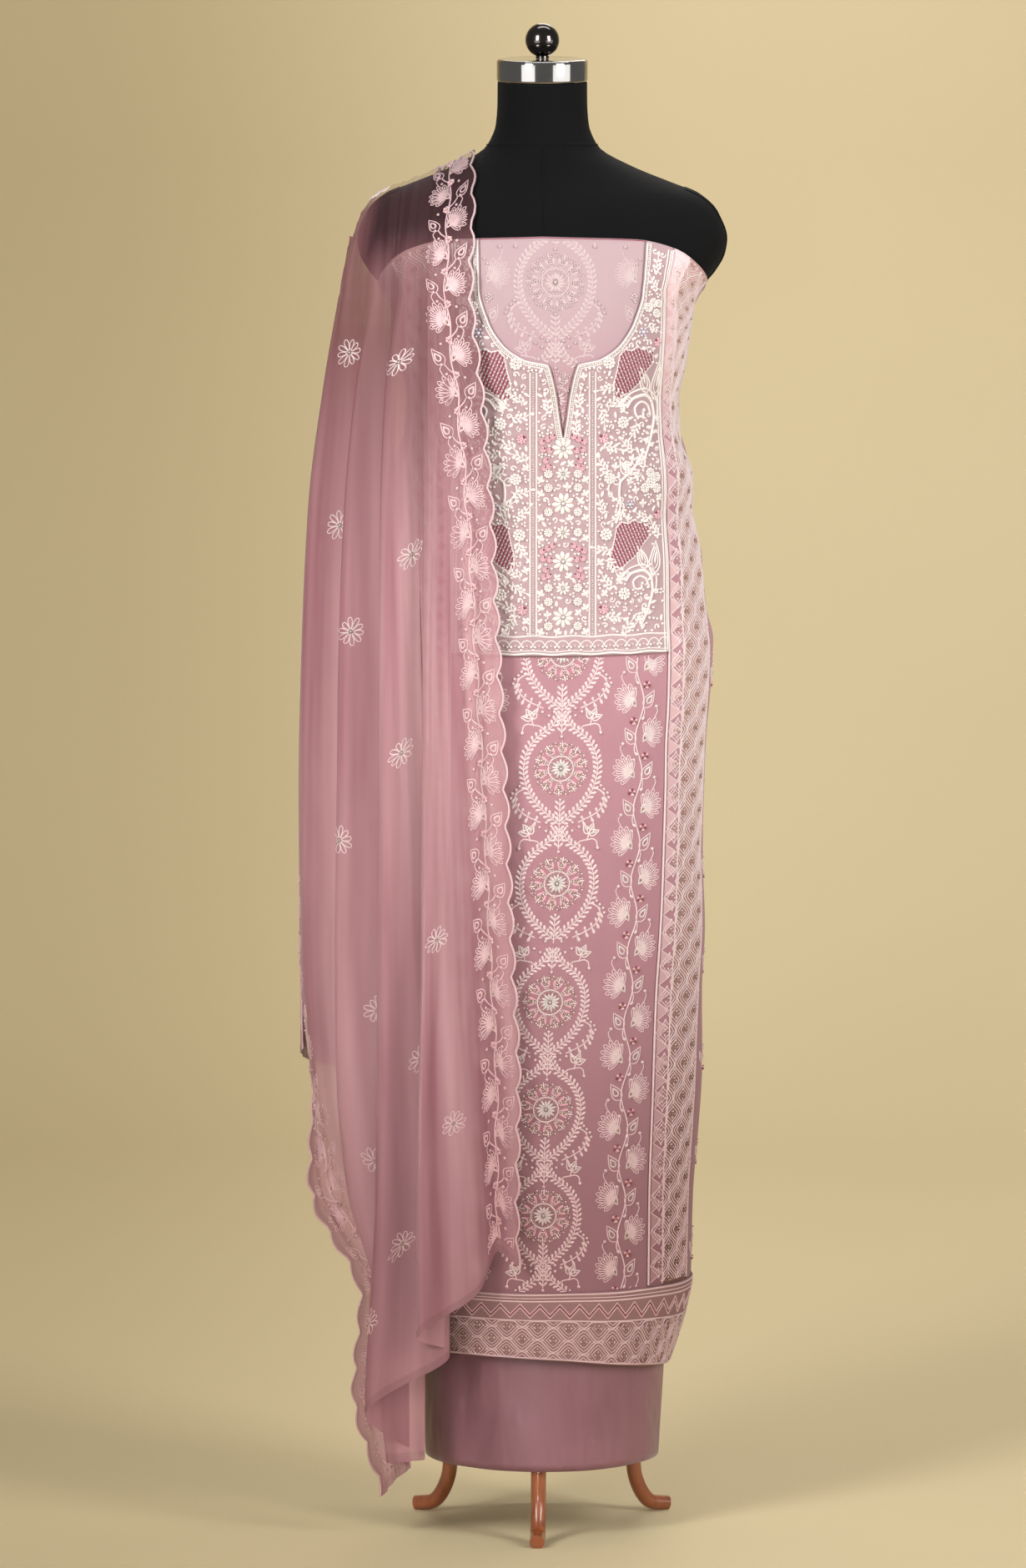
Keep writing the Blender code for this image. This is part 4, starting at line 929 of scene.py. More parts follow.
def join_yoke(bm):
    neck = neck_half(YOKE_LEVELS)
    for side in (-1, 1):
        start, end = (-YOKE_HALF, -neck) if side < 0 else (neck, YOKE_HALF)
        u = start + (end - start) * np.linspace(0, 1, YOKE_COLUMNS)
        u, v = np.broadcast_arrays(u, YOKE_LEVELS)
        half = cloth_mesh("half", panel_at(u, v, YOKE_OUT), np.stack([u, v], axis=-1))
        bm.from_mesh(half)
        bpy.data.meshes.remove(half)
    weld(bm, 1e-5)


yoke_mesh = edit_mesh("yoke_cloth", join_yoke)
yoke_mesh.shade_smooth()
yoke = finish_piece("yoke_cloth", yoke_mesh, [yoke_cloth], "thread_work", ["front_yoke"], YOKE_WALL)

for side, label in ((-1, "left"), (1, "right")):
    edges = sorted((side * BORDER_INNER, side * BORDER_OUTER))
    points, uvs = panel_grid(*STRIP_GRID, STRIP_FOOT, EDGE_MIDDLE, *edges, TRIM_OUT)
    strip = cloth_piece("side_strip_" + label, points, uvs, [strip_cloth, lattice_cloth],
                        "lattice_work", ["side_border_" + label], GEORGETTE_WALL)
    for polygon in strip.data.polygons:
        across = abs(uvs[divmod(polygon.vertices[0], STRIP_GRID[1] + 1)][0])
        polygon.material_index = int(across > LATTICE_FROM)

hem_band = cloth_piece(
    "hem_band_cloth",
    *panel_grid(*HEM_GRID, HEM_MIDDLE, PIPING_LINE, left_side, right_side, TRIM_OUT),
    [hem_cloth], "lattice_work", ["hem_band_front"], GEORGETTE_WALL)

# %% [markdown]
# ## Drawing with a needle
#
# Every motif is drawn once, flat, in millimetres: u to the right, v up, and a height off the
# cloth. A line of satin stitch is a narrow grid with a raised middle, a knot or bead is a small
# ball, and a leaf is a stitch that swells and tapers. Flat motifs are cheap to copy, and bending
# them round the cloth comes last.

# %% Stitches and beads
STITCH_EDGE, BEAD_RISE = -0.2, 0.35  # how deep a stitch's edges sink, how far a bead's middle rises
TEMPLATES = {}


def template(key, make):
    """A small mesh that is made once with a bmesh operator and then repeated."""
    if key not in TEMPLATES:
        TEMPLATES[key] = edit_mesh("template_" + key, make)
        TEMPLATES[key].shade_smooth()
    return TEMPLATES[key]


def points_of(mesh):
    flat = np.empty(len(mesh.vertices) * 3, np.float32)
    mesh.vertices.foreach_get("co", flat)
    return flat.reshape(-1, 3).astype(float)


def sideways(line):
    """The unit direction to the right of a flat line, at each of its points."""
    ahead = np.gradient(line, axis=0)
    if np.allclose(line[0], line[-1]):
        ahead[0] = ahead[-1] = ahead[0] + ahead[-1]
    return np.stack([ahead[:, 1], -ahead[:, 0]], axis=1) / (
        np.linalg.norm(ahead, axis=1)[:, None] + 1e-12)


def stroke(plan, line, width, thread, height=0.7):
    """Satin stitch along a flat line; width is one number or one for each point."""
    line = np.asarray(line, float)
    count = len(line)
    right = sideways(line) * np.broadcast_to(width, count)[:, None] / 2
    ups = np.broadcast_to(np.array([STITCH_EDGE, height, STITCH_EDGE])[:, None], (count, 3, 1))
    spots = np.stack([line - right, line, line + right], axis=1)
    strip = template(f"strip_{count}", lambda bm: bmesh.ops.create_grid(
        bm, x_segments=2, y_segments=count - 1, size=1.0))
    plan.append((strip, np.concatenate([spots, ups], axis=2).reshape(-1, 3), thread))


def dots(plan, spots, radius, *threads, squash=0.8):
    """Knots or beads, balls pressed a little into the cloth, in these threads by turns."""
    ball = template("ball", lambda bm: bmesh.ops.create_icosphere(bm, subdivisions=1, radius=1.0))
    shape = points_of(ball) * (radius, radius, squash * radius) + (0, 0, BEAD_RISE * radius)
    for k, (u, v) in enumerate(spots):
        plan.append((ball, shape + (u, v, 0), threads[k % len(threads)]))


def turn_line(line, angle, at=(0.0, 0.0)):
    """Turns a flat line by an angle in degrees and moves it."""
    t = math.radians(angle)
    line = np.asarray(line, float)
    x = line[:, 0] * math.cos(t) - line[:, 1] * math.sin(t) + at[0]
    y = line[:, 0] * math.sin(t) + line[:, 1] * math.cos(t) + at[1]
    return np.stack([x, y], axis=1)


def around(radius, angle, at=(0.0, 0.0)):
    return turn_line([(radius, 0)], angle, at)[0]


def ring(radius, count, start=0.0, at=(0.0, 0.0)):
    return [around(radius, 360 / count * k + start, at) for k in range(count)]


def smooth_line(points, count, flip=1):
    """A smooth line through a few flat points, mirrored where flip is -1."""
    runs = np.arange(len(points))
    marks = np.linspace(0, runs[-1], count)
    return np.stack([smooth_at(runs, column, marks) for column in zip(*points)], 1) * (flip, 1)


def line_runs(line):
    return np.concatenate([[0], np.cumsum(np.linalg.norm(np.diff(line, axis=0), axis=1))])


def even_line(line, step):
    """The same line with its points a step apart."""
    line = np.asarray(line, float)
    run = line_runs(line)
    marks = np.linspace(0, run[-1], max(2, round(run[-1] / step) + 1))
    return np.stack([np.interp(marks, run, line[:, k]) for k in (0, 1)], 1)


BLADE = np.array([0.30, 0.85, 1.0, 0.80, 0.12])
CLUB = np.array([0.35, 0.50, 0.85, 1.0, 0.45])


def blade(plan, spot, angle, length, width, thread, height=0.9, shape=BLADE):
    """A satin-stitched leaf or petal that starts at a spot."""
    line = turn_line([(length * k / 4, 0) for k in range(5)], angle, spot)
    stroke(plan, line, width * shape, thread, height)


def loop_petal(plan, spot, angle, length, width, thread):
    """An outlined petal: a thread loop that is widest near its tip."""
    turns = np.linspace(0.12, math.tau - 0.12, 11)
    x = length * (1 - np.cos(turns)) / 2
    y = width / 2 * np.sin(turns) * (0.45 + 0.75 * x / length)
    stroke(plan, turn_line(np.stack([x, y], 1), angle, spot), 1.2, thread, 0.6)


def loop_leaf(plan, spot, angle, length, width, thread, thick, inner=None):
    """An outlined leaf with a pointed tip, and a smaller stitch or bead inside."""
    x = np.concatenate([np.linspace(0, 1, 9), np.linspace(1, 0, 9)[1:]])
    side = np.concatenate([np.ones(9), -np.ones(8)])
    y = 1.12 * np.sin(np.pi * x**0.72) * (1.0 - 0.35 * x) * side + 0.25 * x**3
    line = np.stack([length * x, width / 2 * y], 1)
    stroke(plan, turn_line(line, angle, spot), thick, thread)
    if inner is not None:
        start = around(0.28 * length, angle, spot)
        blade(plan, start, angle, 0.5 * length, 0.36 * width, inner, 1.1)


def mesh_from(name, parts):
    return edit_mesh(name, lambda bm: [bm.from_mesh(part) for part in parts])


def flat_motif(name, draw, *settings):
    """Draws a motif's stitches and beads and joins them into one flat mesh, in millimetres."""
    plan = []
    draw(plan, *settings)
    parts, spots, threads = zip(*plan)
    mesh = mesh_from(name, parts)
    set_points(mesh, np.concatenate(spots))
    threads = np.repeat(threads, [len(part.polygons) for part in parts])
    mesh.polygons.foreach_set("material_index", threads.astype(np.int32))
    return mesh


# %% [markdown]
# ## Copying motifs and laying them on the cloth
#
# A layout is a list of motifs with a place in millimetres, a turn, a size and whether it is
# mirrored. All copies go into one mesh, and then one call moves its points onto the cloth.

# %% Lay motifs on a cloth
Copy = namedtuple("Copy", "motif u v turn scale mirrored", defaults=(0.0, 0.0, 0.0, 1.0, False))
MIRRORED = {}


def mirror_image(motif):
    """The motif's mirror image, made once and kept."""
    if motif.name not in MIRRORED:
        image = motif.copy()
        image.transform(Matrix.Diagonal((-1, 1, 1, 1)))
        image.flip_normals()
        MIRRORED[motif.name] = image
    return MIRRORED[motif.name]


def lay_motifs(name, copies, place, keep=None, slot="thread_work", threads=THREADS):
    """One piece from copies of motifs, bent onto a cloth by place and cut where keep says."""
    motifs = [mirror_image(copy.motif) if copy.mirrored else copy.motif for copy in copies]
    flats = []
    for motif, (_, u, v, turn, scale, _) in zip(motifs, copies):
        flat = points_of(motif)
        flats.append(np.column_stack([turn_line(flat[:, :2] * scale, turn, (u, v)), flat[:, 2]]))
    mesh, flat = mesh_from(name, motifs), np.concatenate(flats) * MM
    set_points(mesh, place(*flat.T))
    if keep is not None:
        kept = keep(*flat.T)
        edit_mesh(mesh, lambda bm: bmesh.ops.delete(
            bm, geom=[vert for vert, stays in zip(bm.verts, kept) if not stays], context="VERTS"))
    finish_piece(name, mesh, threads, slot)
    print(name, "has", sum(len(p.vertices) - 2 for p in mesh.polygons), "triangles")


def on_cloth(out):
    """A place function: how far out from the front panel's inside the work lies."""
    return lambda u, v, h: panel_at(u, v, out + h)


on_panel, on_yoke, on_trim = on_cloth(PANEL_T), on_cloth(YOKE_OUT), on_cloth(TRIM_OUT)

# %% [markdown]
# ## The motifs of the kameez
#
# Down the middle runs a chain of ogee frames, leafy vines with berries, each round a beaded
# medallion. At each side a vine of fan-shaped flowers climbs, each flower with a leaf opposite.

# %% Medallion
ARCH = np.array([(16.2, -4.9), (21.5, -6.8), (27.0, -5.2), (30.8, 0), (27.0, 5.2), (21.5, 6.8),
                 (16.2, 4.9)])


def draw_medallion(plan):
    for k in range(14):
        angle = 360 / 14 * k + 8
        blade(plan, around(2.6, angle), angle, 9.6 if k % 2 else 8.0, 3.3, PEARL, 1.8)
    dots(plan, [(0, 0)], 2.3, SILVER)
    dots(plan, ring(12.6, 24), 0.9, SILVER, GOLD)
    circle = ring(14.6, 36)
    stroke(plan, circle + circle[:1], 2.0, PALE, 1.2)
    for angle in range(10, 370, 36):
        for swing in (-8, 8):
            start = around(17.0, angle + 1.3 * swing)
            blade(plan, start, angle + 0.3 * swing, 9.0, 3.6, ROSE, 1.4, CLUB)
        for reach, count, threads in ((1.0, 14, (CREAM, GOLD)), (0.74, 9, (SILVER, PALE))):
            arch = (ARCH - (16, 0)) * reach + (16, 0)
            dots(plan, turn_line(smooth_line(arch, count), angle), 1.15, *threads)
        blade(plan, around(25.0, angle + 18), angle + 18, 7.5, 2.2, CREAM)
        dots(plan, [around(29.5, angle + 13), around(29.5, angle + 23)], 1.15, CREAM)
        dots(plan, [around(22, angle + 18)], 1.15, GOLD)


# %% Ogee frame
VINE = ((2.6, 60), (9.3, 47), (29, 30.5), (38.4, 12), (39.8, -1.5), (37, -17), (26.5, -36),
        (13.3, -49), (0.5, -60))
SCROLL = ((36, -21), (43, -24), (48, -30), (47, -38), (42, -46), (33, -52), (20, -58))
HOOK = ((17, 40), (24, 46), (31, 47), (36, 48), (41, 45), (42, 39))
VINE_LEAF, VINE_SPACING = 6.8, 5.4


def draw_leafy_vine(plan, line):
    """A stem with pairs of small round-ended leaves."""
    stroke(plan, line, 1.5, PALE)
    run = line_runs(line)
    for mark in np.arange(0.5 * VINE_SPACING, run[-1], VINE_SPACING):
        spot, ahead = ([np.interp(at, run, line[:, axis]) for axis in (0, 1)]
                       for at in (mark, mark + 0.3))
        heading = math.degrees(math.atan2(ahead[1] - spot[1], ahead[0] - spot[0]))
        for swing in (-50, 50):
            blade(plan, spot, heading + swing, VINE_LEAF, 0.5 * VINE_LEAF, PALE, 1.2, CLUB)


def draw_ogee_frame(plan):
    for side in (-1, 1):
        draw_leafy_vine(plan, smooth_line(VINE[::-1], 46, side))
        line = smooth_line(SCROLL, 18, side)
        stroke(plan, line, 1.7, PALE)
        for k in range(6, 17, 2):
            blade(plan, line[k], -90 + 25 * side, 7.2, 3.8, PALE, 1.2, CLUB)
            blade(plan, line[k], 90 + 15 * side, 5.4, 3.1, PALE, 1.2, CLUB)
        berries = ((51, -27), (52.5, -32), (47, -23), (43.5, -19))
        dots(plan, [(side * u, v) for u, v in berries], 1.8, PALE)
        stroke(plan, smooth_line(HOOK, 12, side), 1.7, PALE)
        dots(plan, [(side * 42, 38)], 2.1, PALE)
        stroke(plan, smooth_line(((30, 46), (31.5, 50), (32, 54)), 5, side), 1.7, PALE)
        for angle, length in ((62, 12.5), (12, 12.0), (118, 11.0)):
            turn = angle if side > 0 else 180 - angle
            loop_leaf(plan, (side * 32, 53.5), turn, length, 7.0, CREAM, 1.5, PEARL)
        berries = ((8.5, -62), (14, -58), (21, 61), (14, 57), (26, -55))
        dots(plan, [(side * u, v) for u, v in berries], 1.8, PALE)
        for v, length in ((57, 7.4), (51, 7.8), (45, 8.0), (39, 7.0), (-40, 7.6), (-46, 8.4),
                          (-52, 8.4), (-57, 7.6)):
            blade(plan, (0, v), 90 - side * 42, length, 3.0, PALE, 1.2, CLUB)
    for line in (((0, 62), (0, 50), (0, 37)), ((0, -35), (0, -50), (0, -64))):
        stroke(plan, smooth_line(line, 6), 1.5, PALE)
    dots(plan, ((0, 34.5), (0, -33.5)), 1.9, PALE)


# %% Climbing vine of fan flowers
VINE_PITCH = 76.8
FAN = ((84, 16.5), (103, 21), (121, 24), (139, 24.5), (157, 23.5), (176, 22), (197, 20), (221, 16))


def draw_vine_flower(plan, outline, core, cluster, reach=8.0):
    """Half a vine's pitch: a flower at the left of the stem, its leaf at the right."""
    at = (-reach, 0.0)
    for angle, length in FAN:
        loop_petal(plan, at, angle, length, 5.6, outline)
        ends = turn_line([(0.26 * length, 0), (0.84 * length, 0)], angle, at)
        stroke(plan, ends, 1.5, outline, 0.5)
    loop_leaf(plan, (-reach - 2.0, 4.6), -64, 10.5, 6.2, core, 2.0)
    dots(plan, [(0.6 - reach, 0)], 1.4, GOLD)
    stem, base = 0.45 * reach + 0.4, 13.0 - reach
    petiole = ((stem, -17), ((stem + base) / 2 + 1.2, -11.5), (base, -6.0))
    stroke(plan, smooth_line(petiole, 7), 1.5, outline)
    loop_leaf(plan, (base, -6.0), 52, 21.5, 12.0, outline, 1.3)
    loop_leaf(plan, (base + 3.8, -1.4), 52, 10.0, 5.6, core, 2.0)
    curl = [(u - reach, v) for u, v in ((-10, 20), (-12.5, 24), (-14.0, 28.5), (-12.0, 32))]
    stroke(plan, smooth_line(curl, 8), 1.2, outline)
    for u, v, size in ((-11.6, 33, 2.0), (14, 16, 1.8), (2.0, 15, 1.7), (5.0, 20.5, 1.8),
                       (12, -17, 1.8)):
        dots(plan, [(u - reach, v)], size, outline)
    heart = (0.6 - reach, -20)
    dots(plan, ring(2.9, 6, 20, heart), 1.8, min(cluster, ROSE), cluster)
    dots(plan, [heart], 1.5, GOLD)


def draw_stem(plan, length, thread, swing=4.6):
    """The wavy stem between the flowers, from v = 0 down by length."""
    run = np.arange(0, length, 3.2)
    u = swing * np.cos(math.tau * run / VINE_PITCH)
    stroke(plan, np.stack([u, -run], 1), 1.7, thread, 1.0)


medallion = flat_motif("medallion", draw_medallion)
ogee_frame = flat_motif("ogee_frame", draw_ogee_frame)
panel_flower = flat_motif("panel_flower", draw_vine_flower, PALE, PEARL, WINE)
for motif in (medallion, ogee_frame, panel_flower):
    print(motif.name, "has", len(motif.polygons), "faces")

# %% [markdown]
# ## Working the front length
#
# The medallions' heights and the vines' pitch were marked on the cloth first. The chain runs from
# the neck to the hem band; the yoke covers the two that would lie under it.

# %% The medallion chain and the two vines
MEDALLION_V = (964, 841, 717, 589, 473, 358, 246)
VINE_U, LEFT_FLOWER_V, STEM_LENGTH = 86.5, 909.8, 731
TUCKED = 0.000999  # how far short of a covering edge the work stops
NECK_ROOM, NECK_FOOT, BELOW_EDGE = 0.001, 1.19, 0.003


def below_yoke(u, v, h):
    return (v < YOKE_FOOT - TUCKED) & (v > PIPING_LINE + TUCKED)


copies = [Copy(medallion, 0, v, 0.07 * v, 0.92) for v in MEDALLION_V]
for i, v in enumerate(MEDALLION_V):
    gaps = [abs(v - other) for other in MEDALLION_V[max(i - 1, 0):i + 2] if other != v]
    copies.append(Copy(ogee_frame, 0, v, scale=min(1.0, min(gaps) / 122)))
lay_motifs("medallion_chain", copies, on_panel, below_yoke)

vine_stem = flat_motif("vine_stem", draw_stem, STEM_LENGTH, PALE)
copies = []
for side in (-1, 1):
    copies.append(Copy(vine_stem, side * VINE_U, LEFT_FLOWER_V + VINE_PITCH, mirrored=side < 0))
    copies += [Copy(panel_flower, side * VINE_U, LEFT_FLOWER_V - k * VINE_PITCH / 2,
                    mirrored=(k % 2 == 1) == (side > 0)) for k in range(-2, 19)]
lay_motifs("flower_vines", copies, on_panel, below_yoke)

# %% What shows inside the neck, at the sides and along the upper edge


def in_neck(u, v, h):
    return (np.abs(u) < neck_half(v) - NECK_ROOM) & (v < EDGE_MIDDLE - BELOW_EDGE) & (v > NECK_FOOT)


faded_thread = thread_material("faded thread", (0.66, 0.52, 0.52))
copies = [Copy(medallion, -8, v, 5) for v in (1361, 1236)]
copies += [Copy(ogee_frame, -8, v) for v in (1361, 1236)]
copies += [Copy(panel_flower, side * VINE_U, v, mirrored=side * turned > 0)
           for side in (-1, 1) for v, turned in ((1325, 1), (1366, -1))]
lay_motifs("neck_chain", copies, on_panel, in_neck, threads=[faded_thread] * 8)

lay_motifs("side_flowers", [
    Copy(panel_flower, side * (214 + 4 * (k % 2)), 930 - 104 * k, 0, 0.62, side > 0)
    for side in (-1, 1) for k in range(7)], on_panel)

edge_across = np.linspace(1000 * left_side(1.407) + 1, 1000 * right_side(1.407) - 1, 160)
edge_line = [(u, 1000 * EDGE_MIDDLE - 0.9) for u in edge_across]
edge_motif = flat_motif("edge_line", stroke, edge_line, 1.3, WINE)
lay_motifs("edge_line", [Copy(edge_motif)], on_panel, slot="georgette")

# %% [markdown]
# ## The yoke
#
# The yoke carries the densest work. Couched cords bound it and its neck, a middle strip holds a
# chain of flowers, and each side has hatched leaves with scrolls, roses and knots. What is left
# is filled with sprigs and knots, the largest first, each where it has room.

# %% Cords and lines of the yoke
BAND_TOP, LINE_TOP, FOOT, EDGE = 983, 1266, 1000 * YOKE_FOOT, 1000 * EDGE_MIDDLE
ARCH_PITCH, ARCH_FOOT, ARCH_RISE = 12.6, 972.2, 6.4
CORD_LINES, BEAD_LINE, SIDE_LINES, FRAME_LINE = (28.0, 34.8), 31.4, (114.8, 118.0), 120.1
NECK_CORDS, SIDE_CORD_R = 6.2, 0.0012  # width of the cords round the neck, the strips' side cords


def upright(u, low, high, count):
    return [(u, v) for v in np.linspace(low, high, count)]


def draw_yoke_cords(plan):
    levels = np.concatenate([np.linspace(EDGE - 2, 1300, 60), np.linspace(1300, 1268, 90)[1:],
                             np.linspace(1268, 1193, 60)[1:]])
    half = np.stack([1000 * neck_half(levels / 1000), levels], 1)
    whole = even_line(np.concatenate([half, half[::-1][1:] * (-1, 1)]), 2.2)
    right = sideways(whole)
    stroke(plan, whole - 1.9 * right, 2.1, CREAM, 1.6)
    dots(plan, even_line(whole - 3.9 * right, 2.3), 1.15, PEARL, CREAM)
    stroke(plan, whole - 5.8 * right, 1.4, CREAM, 1.0)
    for side in (-1, 1):
        for u in CORD_LINES:
            stroke(plan, upright(side * u, BAND_TOP, LINE_TOP, 90), 1.8, CREAM, 1.0)
        dots(plan, even_line(upright(side * BEAD_LINE, BAND_TOP, LINE_TOP, 2), 2.6), 1.0, SILVER, PEARL)
        for u in SIDE_LINES:
            stroke(plan, upright(side * u, FOOT + 2, 1404, 130), 1.7, CREAM, 1.0)
        stroke(plan, upright(side * FRAME_LINE, FOOT, 1405, 130), 2.6, CREAM, 0.4)
    wide = np.linspace(-116.5, 116.5, 100)
    for v, width in ((BAND_TOP, 2.0), (FOOT + 2.2, 2.4), (FOOT + 5.2, 1.3)):
        stroke(plan, np.stack([wide, v + 0.7 * np.sin(wide * 0.150)], 1), width, CREAM, 1.1)
    for k in range(-9, 10):
        turns = np.linspace(0, math.pi, 9)
        across, up = (k + 0.5 * np.cos(turns)) * ARCH_PITCH, ARCH_FOOT + ARCH_RISE * np.sin(turns)
        stroke(plan, np.stack([across, up], 1), 1.3, CREAM)
        if k < 9:
            middle = (k + 0.5) * ARCH_PITCH
            dots(plan, ((middle - 2, 971.6), (middle + 2, 971.6), (middle, 968.4)), 1.7, CREAM)
            dots(plan, [(k * ARCH_PITCH, 972.8)], 1.2, PALE)


lay_motifs("yoke_cords", [Copy(flat_motif("cords", draw_yoke_cords))], on_yoke)
beside = np.linspace(STRIP_FOOT + 0.002, EDGE_MIDDLE - 0.0055, 600)
cords = [panel_at(np.full(600, side * (YOKE_HALF + 0.0014)), beside, PANEL_T + 0.0016)
         for side in (-1, 1)]
finish_piece("strip_side_cords", tube_along("strip_side_cords", cords, SIDE_CORD_R, 2),
             [THREADS[PALE]], "thread_work")

# %% Flowers, roses and knots of the yoke


def draw_cream_flower(plan):
    for angle in range(10, 370, 40):
        blade(plan, around(2.6, angle), angle, 9.0, 5.2, CREAM, 1.8)
        blade(plan, around(3.5, angle + 20), angle + 20, 5.6, 1.6, GOLD, 1.0)
    dots(plan, [(0, 0)], 2.4, PEARL)
    dots(plan, ring(3.6, 6), 1.1, SILVER)


def draw_rosette(plan):
    dots(plan, ring(5.4, 9), 2.3, CREAM, squash=0.7)
    dots(plan, ring(2.4, 5), 1.9, CREAM, squash=0.7)
    dots(plan, [around(3.9, 51 * k + 20) for k in range(7)], 1.0, GOLD)


def draw_rose(plan):
    dots(plan, ring(3.9, 8), 1.8, *[WINE if k == 3 else ROSE for k in range(8)])
    dots(plan, ring(1.6, 4, 20), 1.5, ROSE, PALE)


def draw_twig(plan):
    line = smooth_line(((-9, -7), (-5, -1), (1, 2.5), (8, 4)), 9)
    stroke(plan, line, 1.6, CREAM)
    for k, angle, length in ((1, 105, 7.0), (3, 85, 7.2), (5, 62, 7.0), (2, -12, 6.5),
                             (4, -30, 6.6), (6, -40, 6.0), (8, 20, 7.0)):
        blade(plan, line[k], angle, length, 3.9, CREAM, 1.5, CLUB)
    dots(plan, [(-7.4, 2.6)], 1.7, CREAM)
    dots(plan, [(1.5, -5.0)], 1.6, CREAM)


def draw_sprig(plan):
    for angle, length in ((46, 6.4), (90, 8.0), (134, 6.4)):
        blade(plan, (0, -3.2), angle, length, 3.6, CREAM, 1.5, CLUB)
    dots(plan, [(0, -4.4)], 1.5, CREAM)


def draw_curl(plan):
    turns = np.linspace(0, 1.5 * math.pi, 11)
    radii = 0.8 + 3.2 * turns / turns[-1]
    line = np.stack([radii * np.cos(turns), radii * np.sin(turns)], 1)
    stroke(plan, line, 1.7, CREAM, 1.0)
    dots(plan, line[:1], 1.9, CREAM)


def draw_knots(plan, *spots):
    dots(plan, spots, 1.75, CREAM)


def draw_leaf(plan):
    blade(plan, (-3.6, 0), 0, 7.4, 3.8, CREAM, 1.5)


def draw_crystal(plan):
    dots(plan, ring(4.4, 6), 1.8, CRYSTAL, squash=0.6)
    dots(plan, [(0, 0)], 2.7, CRYSTAL, squash=0.7)


def draw_hatched_leaf(plan):
    """A broad leaf filled with slanting rows of stitches, with a looped upper edge."""
    shape = np.array([(-17, 19), (-11, 25), (-3, 23), (4, 27), (12, 23), (20, 26), (26, 19),
                      (25, 9), (16, -1), (6, -14), (-4, -21), (-14, -29), (-23, -26), (-24, -13),
                      (-20, 3), (-17, 19)], float)
    slant, step = around(1, -66), around(1, 24)
    nearest, farthest = (shape @ step).min(), (shape @ step).max()
    for row in range(int((farthest - nearest) / 1.9)):
        offset = nearest + 1.4 + 1.9 * row
        cuts = []
        for start, end in zip(shape, shape[1:]):
            a, b = start @ step - offset, end @ step - offset
            if a * b < 0:
                cuts.append((start + (end - start) * a / (a - b)) @ slant)
        cuts.sort()
        for low, high in zip(cuts[::2], cuts[1::2]):
            if high - low < 3:
                continue
            ends = [slant * s + step * offset for s in (low + 0.8, high - 0.8)]
            if row % 2:
                dots(plan, even_line(ends, 4.0), 0.95, CREAM, PALE)
            else:
                stroke(plan, even_line(ends, 2.6), 2.2, WINE, 1.1)
                dots(plan, even_line(ends, 6.3), 0.8, CREAM, ROSE)
    stroke(plan, even_line(smooth_line(shape, 60), 2), 1.3, CREAM)


def draw_scroll(plan):
    """Nested scrolls that rise from a stem and end in long outlined leaves."""
    stem = smooth_line(((6, -64), (13, -50), (19, -35), (23, -18), (20, -2), (9, 6), (-6, 3),
                        (-14, -7)), 40)
    stroke(plan, stem, np.interp(np.arange(40), (0, 12, 30, 39), (2.0, 3.6, 4.2, 2.4)), CREAM, 1.8)
    inner = ((18, -16), (14, -5), (5, -1), (-4, -8), (0, -17), (8, -16), (7, -10))
    stroke(plan, smooth_line(inner, 26), 2.8, CREAM, 1.6)
    outer = ((27, -24), (29, -6), (21, 8), (7, 13), (-9, 9), (-20, -3))
    stroke(plan, smooth_line(outer, 26), 2.2, CREAM, 1.4)
    for angle, length, width, at in ((80, 42, 16, (24, 0)), (108, 31, 13, (13, 8)),
                                     (200, 20, 9, (-8, 3))):
        loop_leaf(plan, at, angle, length, width, CREAM, 2.4)
        start = around(0.16 * length, angle, at)
        loop_leaf(plan, start, angle, 0.68 * length, 0.56 * width, CREAM, 1.8, CREAM)
    for k, angle in ((3, 150), (6, 20), (8, 165), (11, 15), (13, 175), (16, 5)):
        blade(plan, stem[k], angle, 10, 4.6, CREAM, 1.6)
    dots(plan, [(8, -10)], 2.6, PEARL)


def draw_branch(plan):
    """A forked stem with long double leaves."""
    stem = ((26, 32), (18, 22), (8, 13), (0, 5), (-1, -8), (1, -22))
    stroke(plan, smooth_line(stem, 24), 3.0, CREAM, 1.6)
    stroke(plan, smooth_line(((-12, 8), (-14, -2), (-9, -11), (0, -17)), 12), 2.4, CREAM, 1.4)
    for angle, length, width, at in ((118, 15, 8, (9, 14)), (20, 14, 8, (10, 12)),
                                     (150, 13, 7, (0, 5)), (262, 19, 8, (1, -16)),
                                     (40, 12, 6, (21, 25)), (170, 11, 6, (18, 23))):
        loop_leaf(plan, at, angle, 1.15 * length, 1.2 * width, CREAM, 2.1, CREAM)


yoke_parts = {name: flat_motif(name, draw, *spots) for name, draw, *spots in (
    ("flower", draw_cream_flower), ("rosette", draw_rosette), ("rose", draw_rose),
    ("twig", draw_twig), ("sprig", draw_sprig), ("curl", draw_curl),
    ("knots", draw_knots, (0, 2.0), (-1.9, -1.2), (1.9, -1.2)), ("knot", draw_knots, (0, 0)),
    ("leaf", draw_leaf), ("crystal", draw_crystal), ("hatched", draw_hatched_leaf),
    ("scroll", draw_scroll), ("branch", draw_branch))}

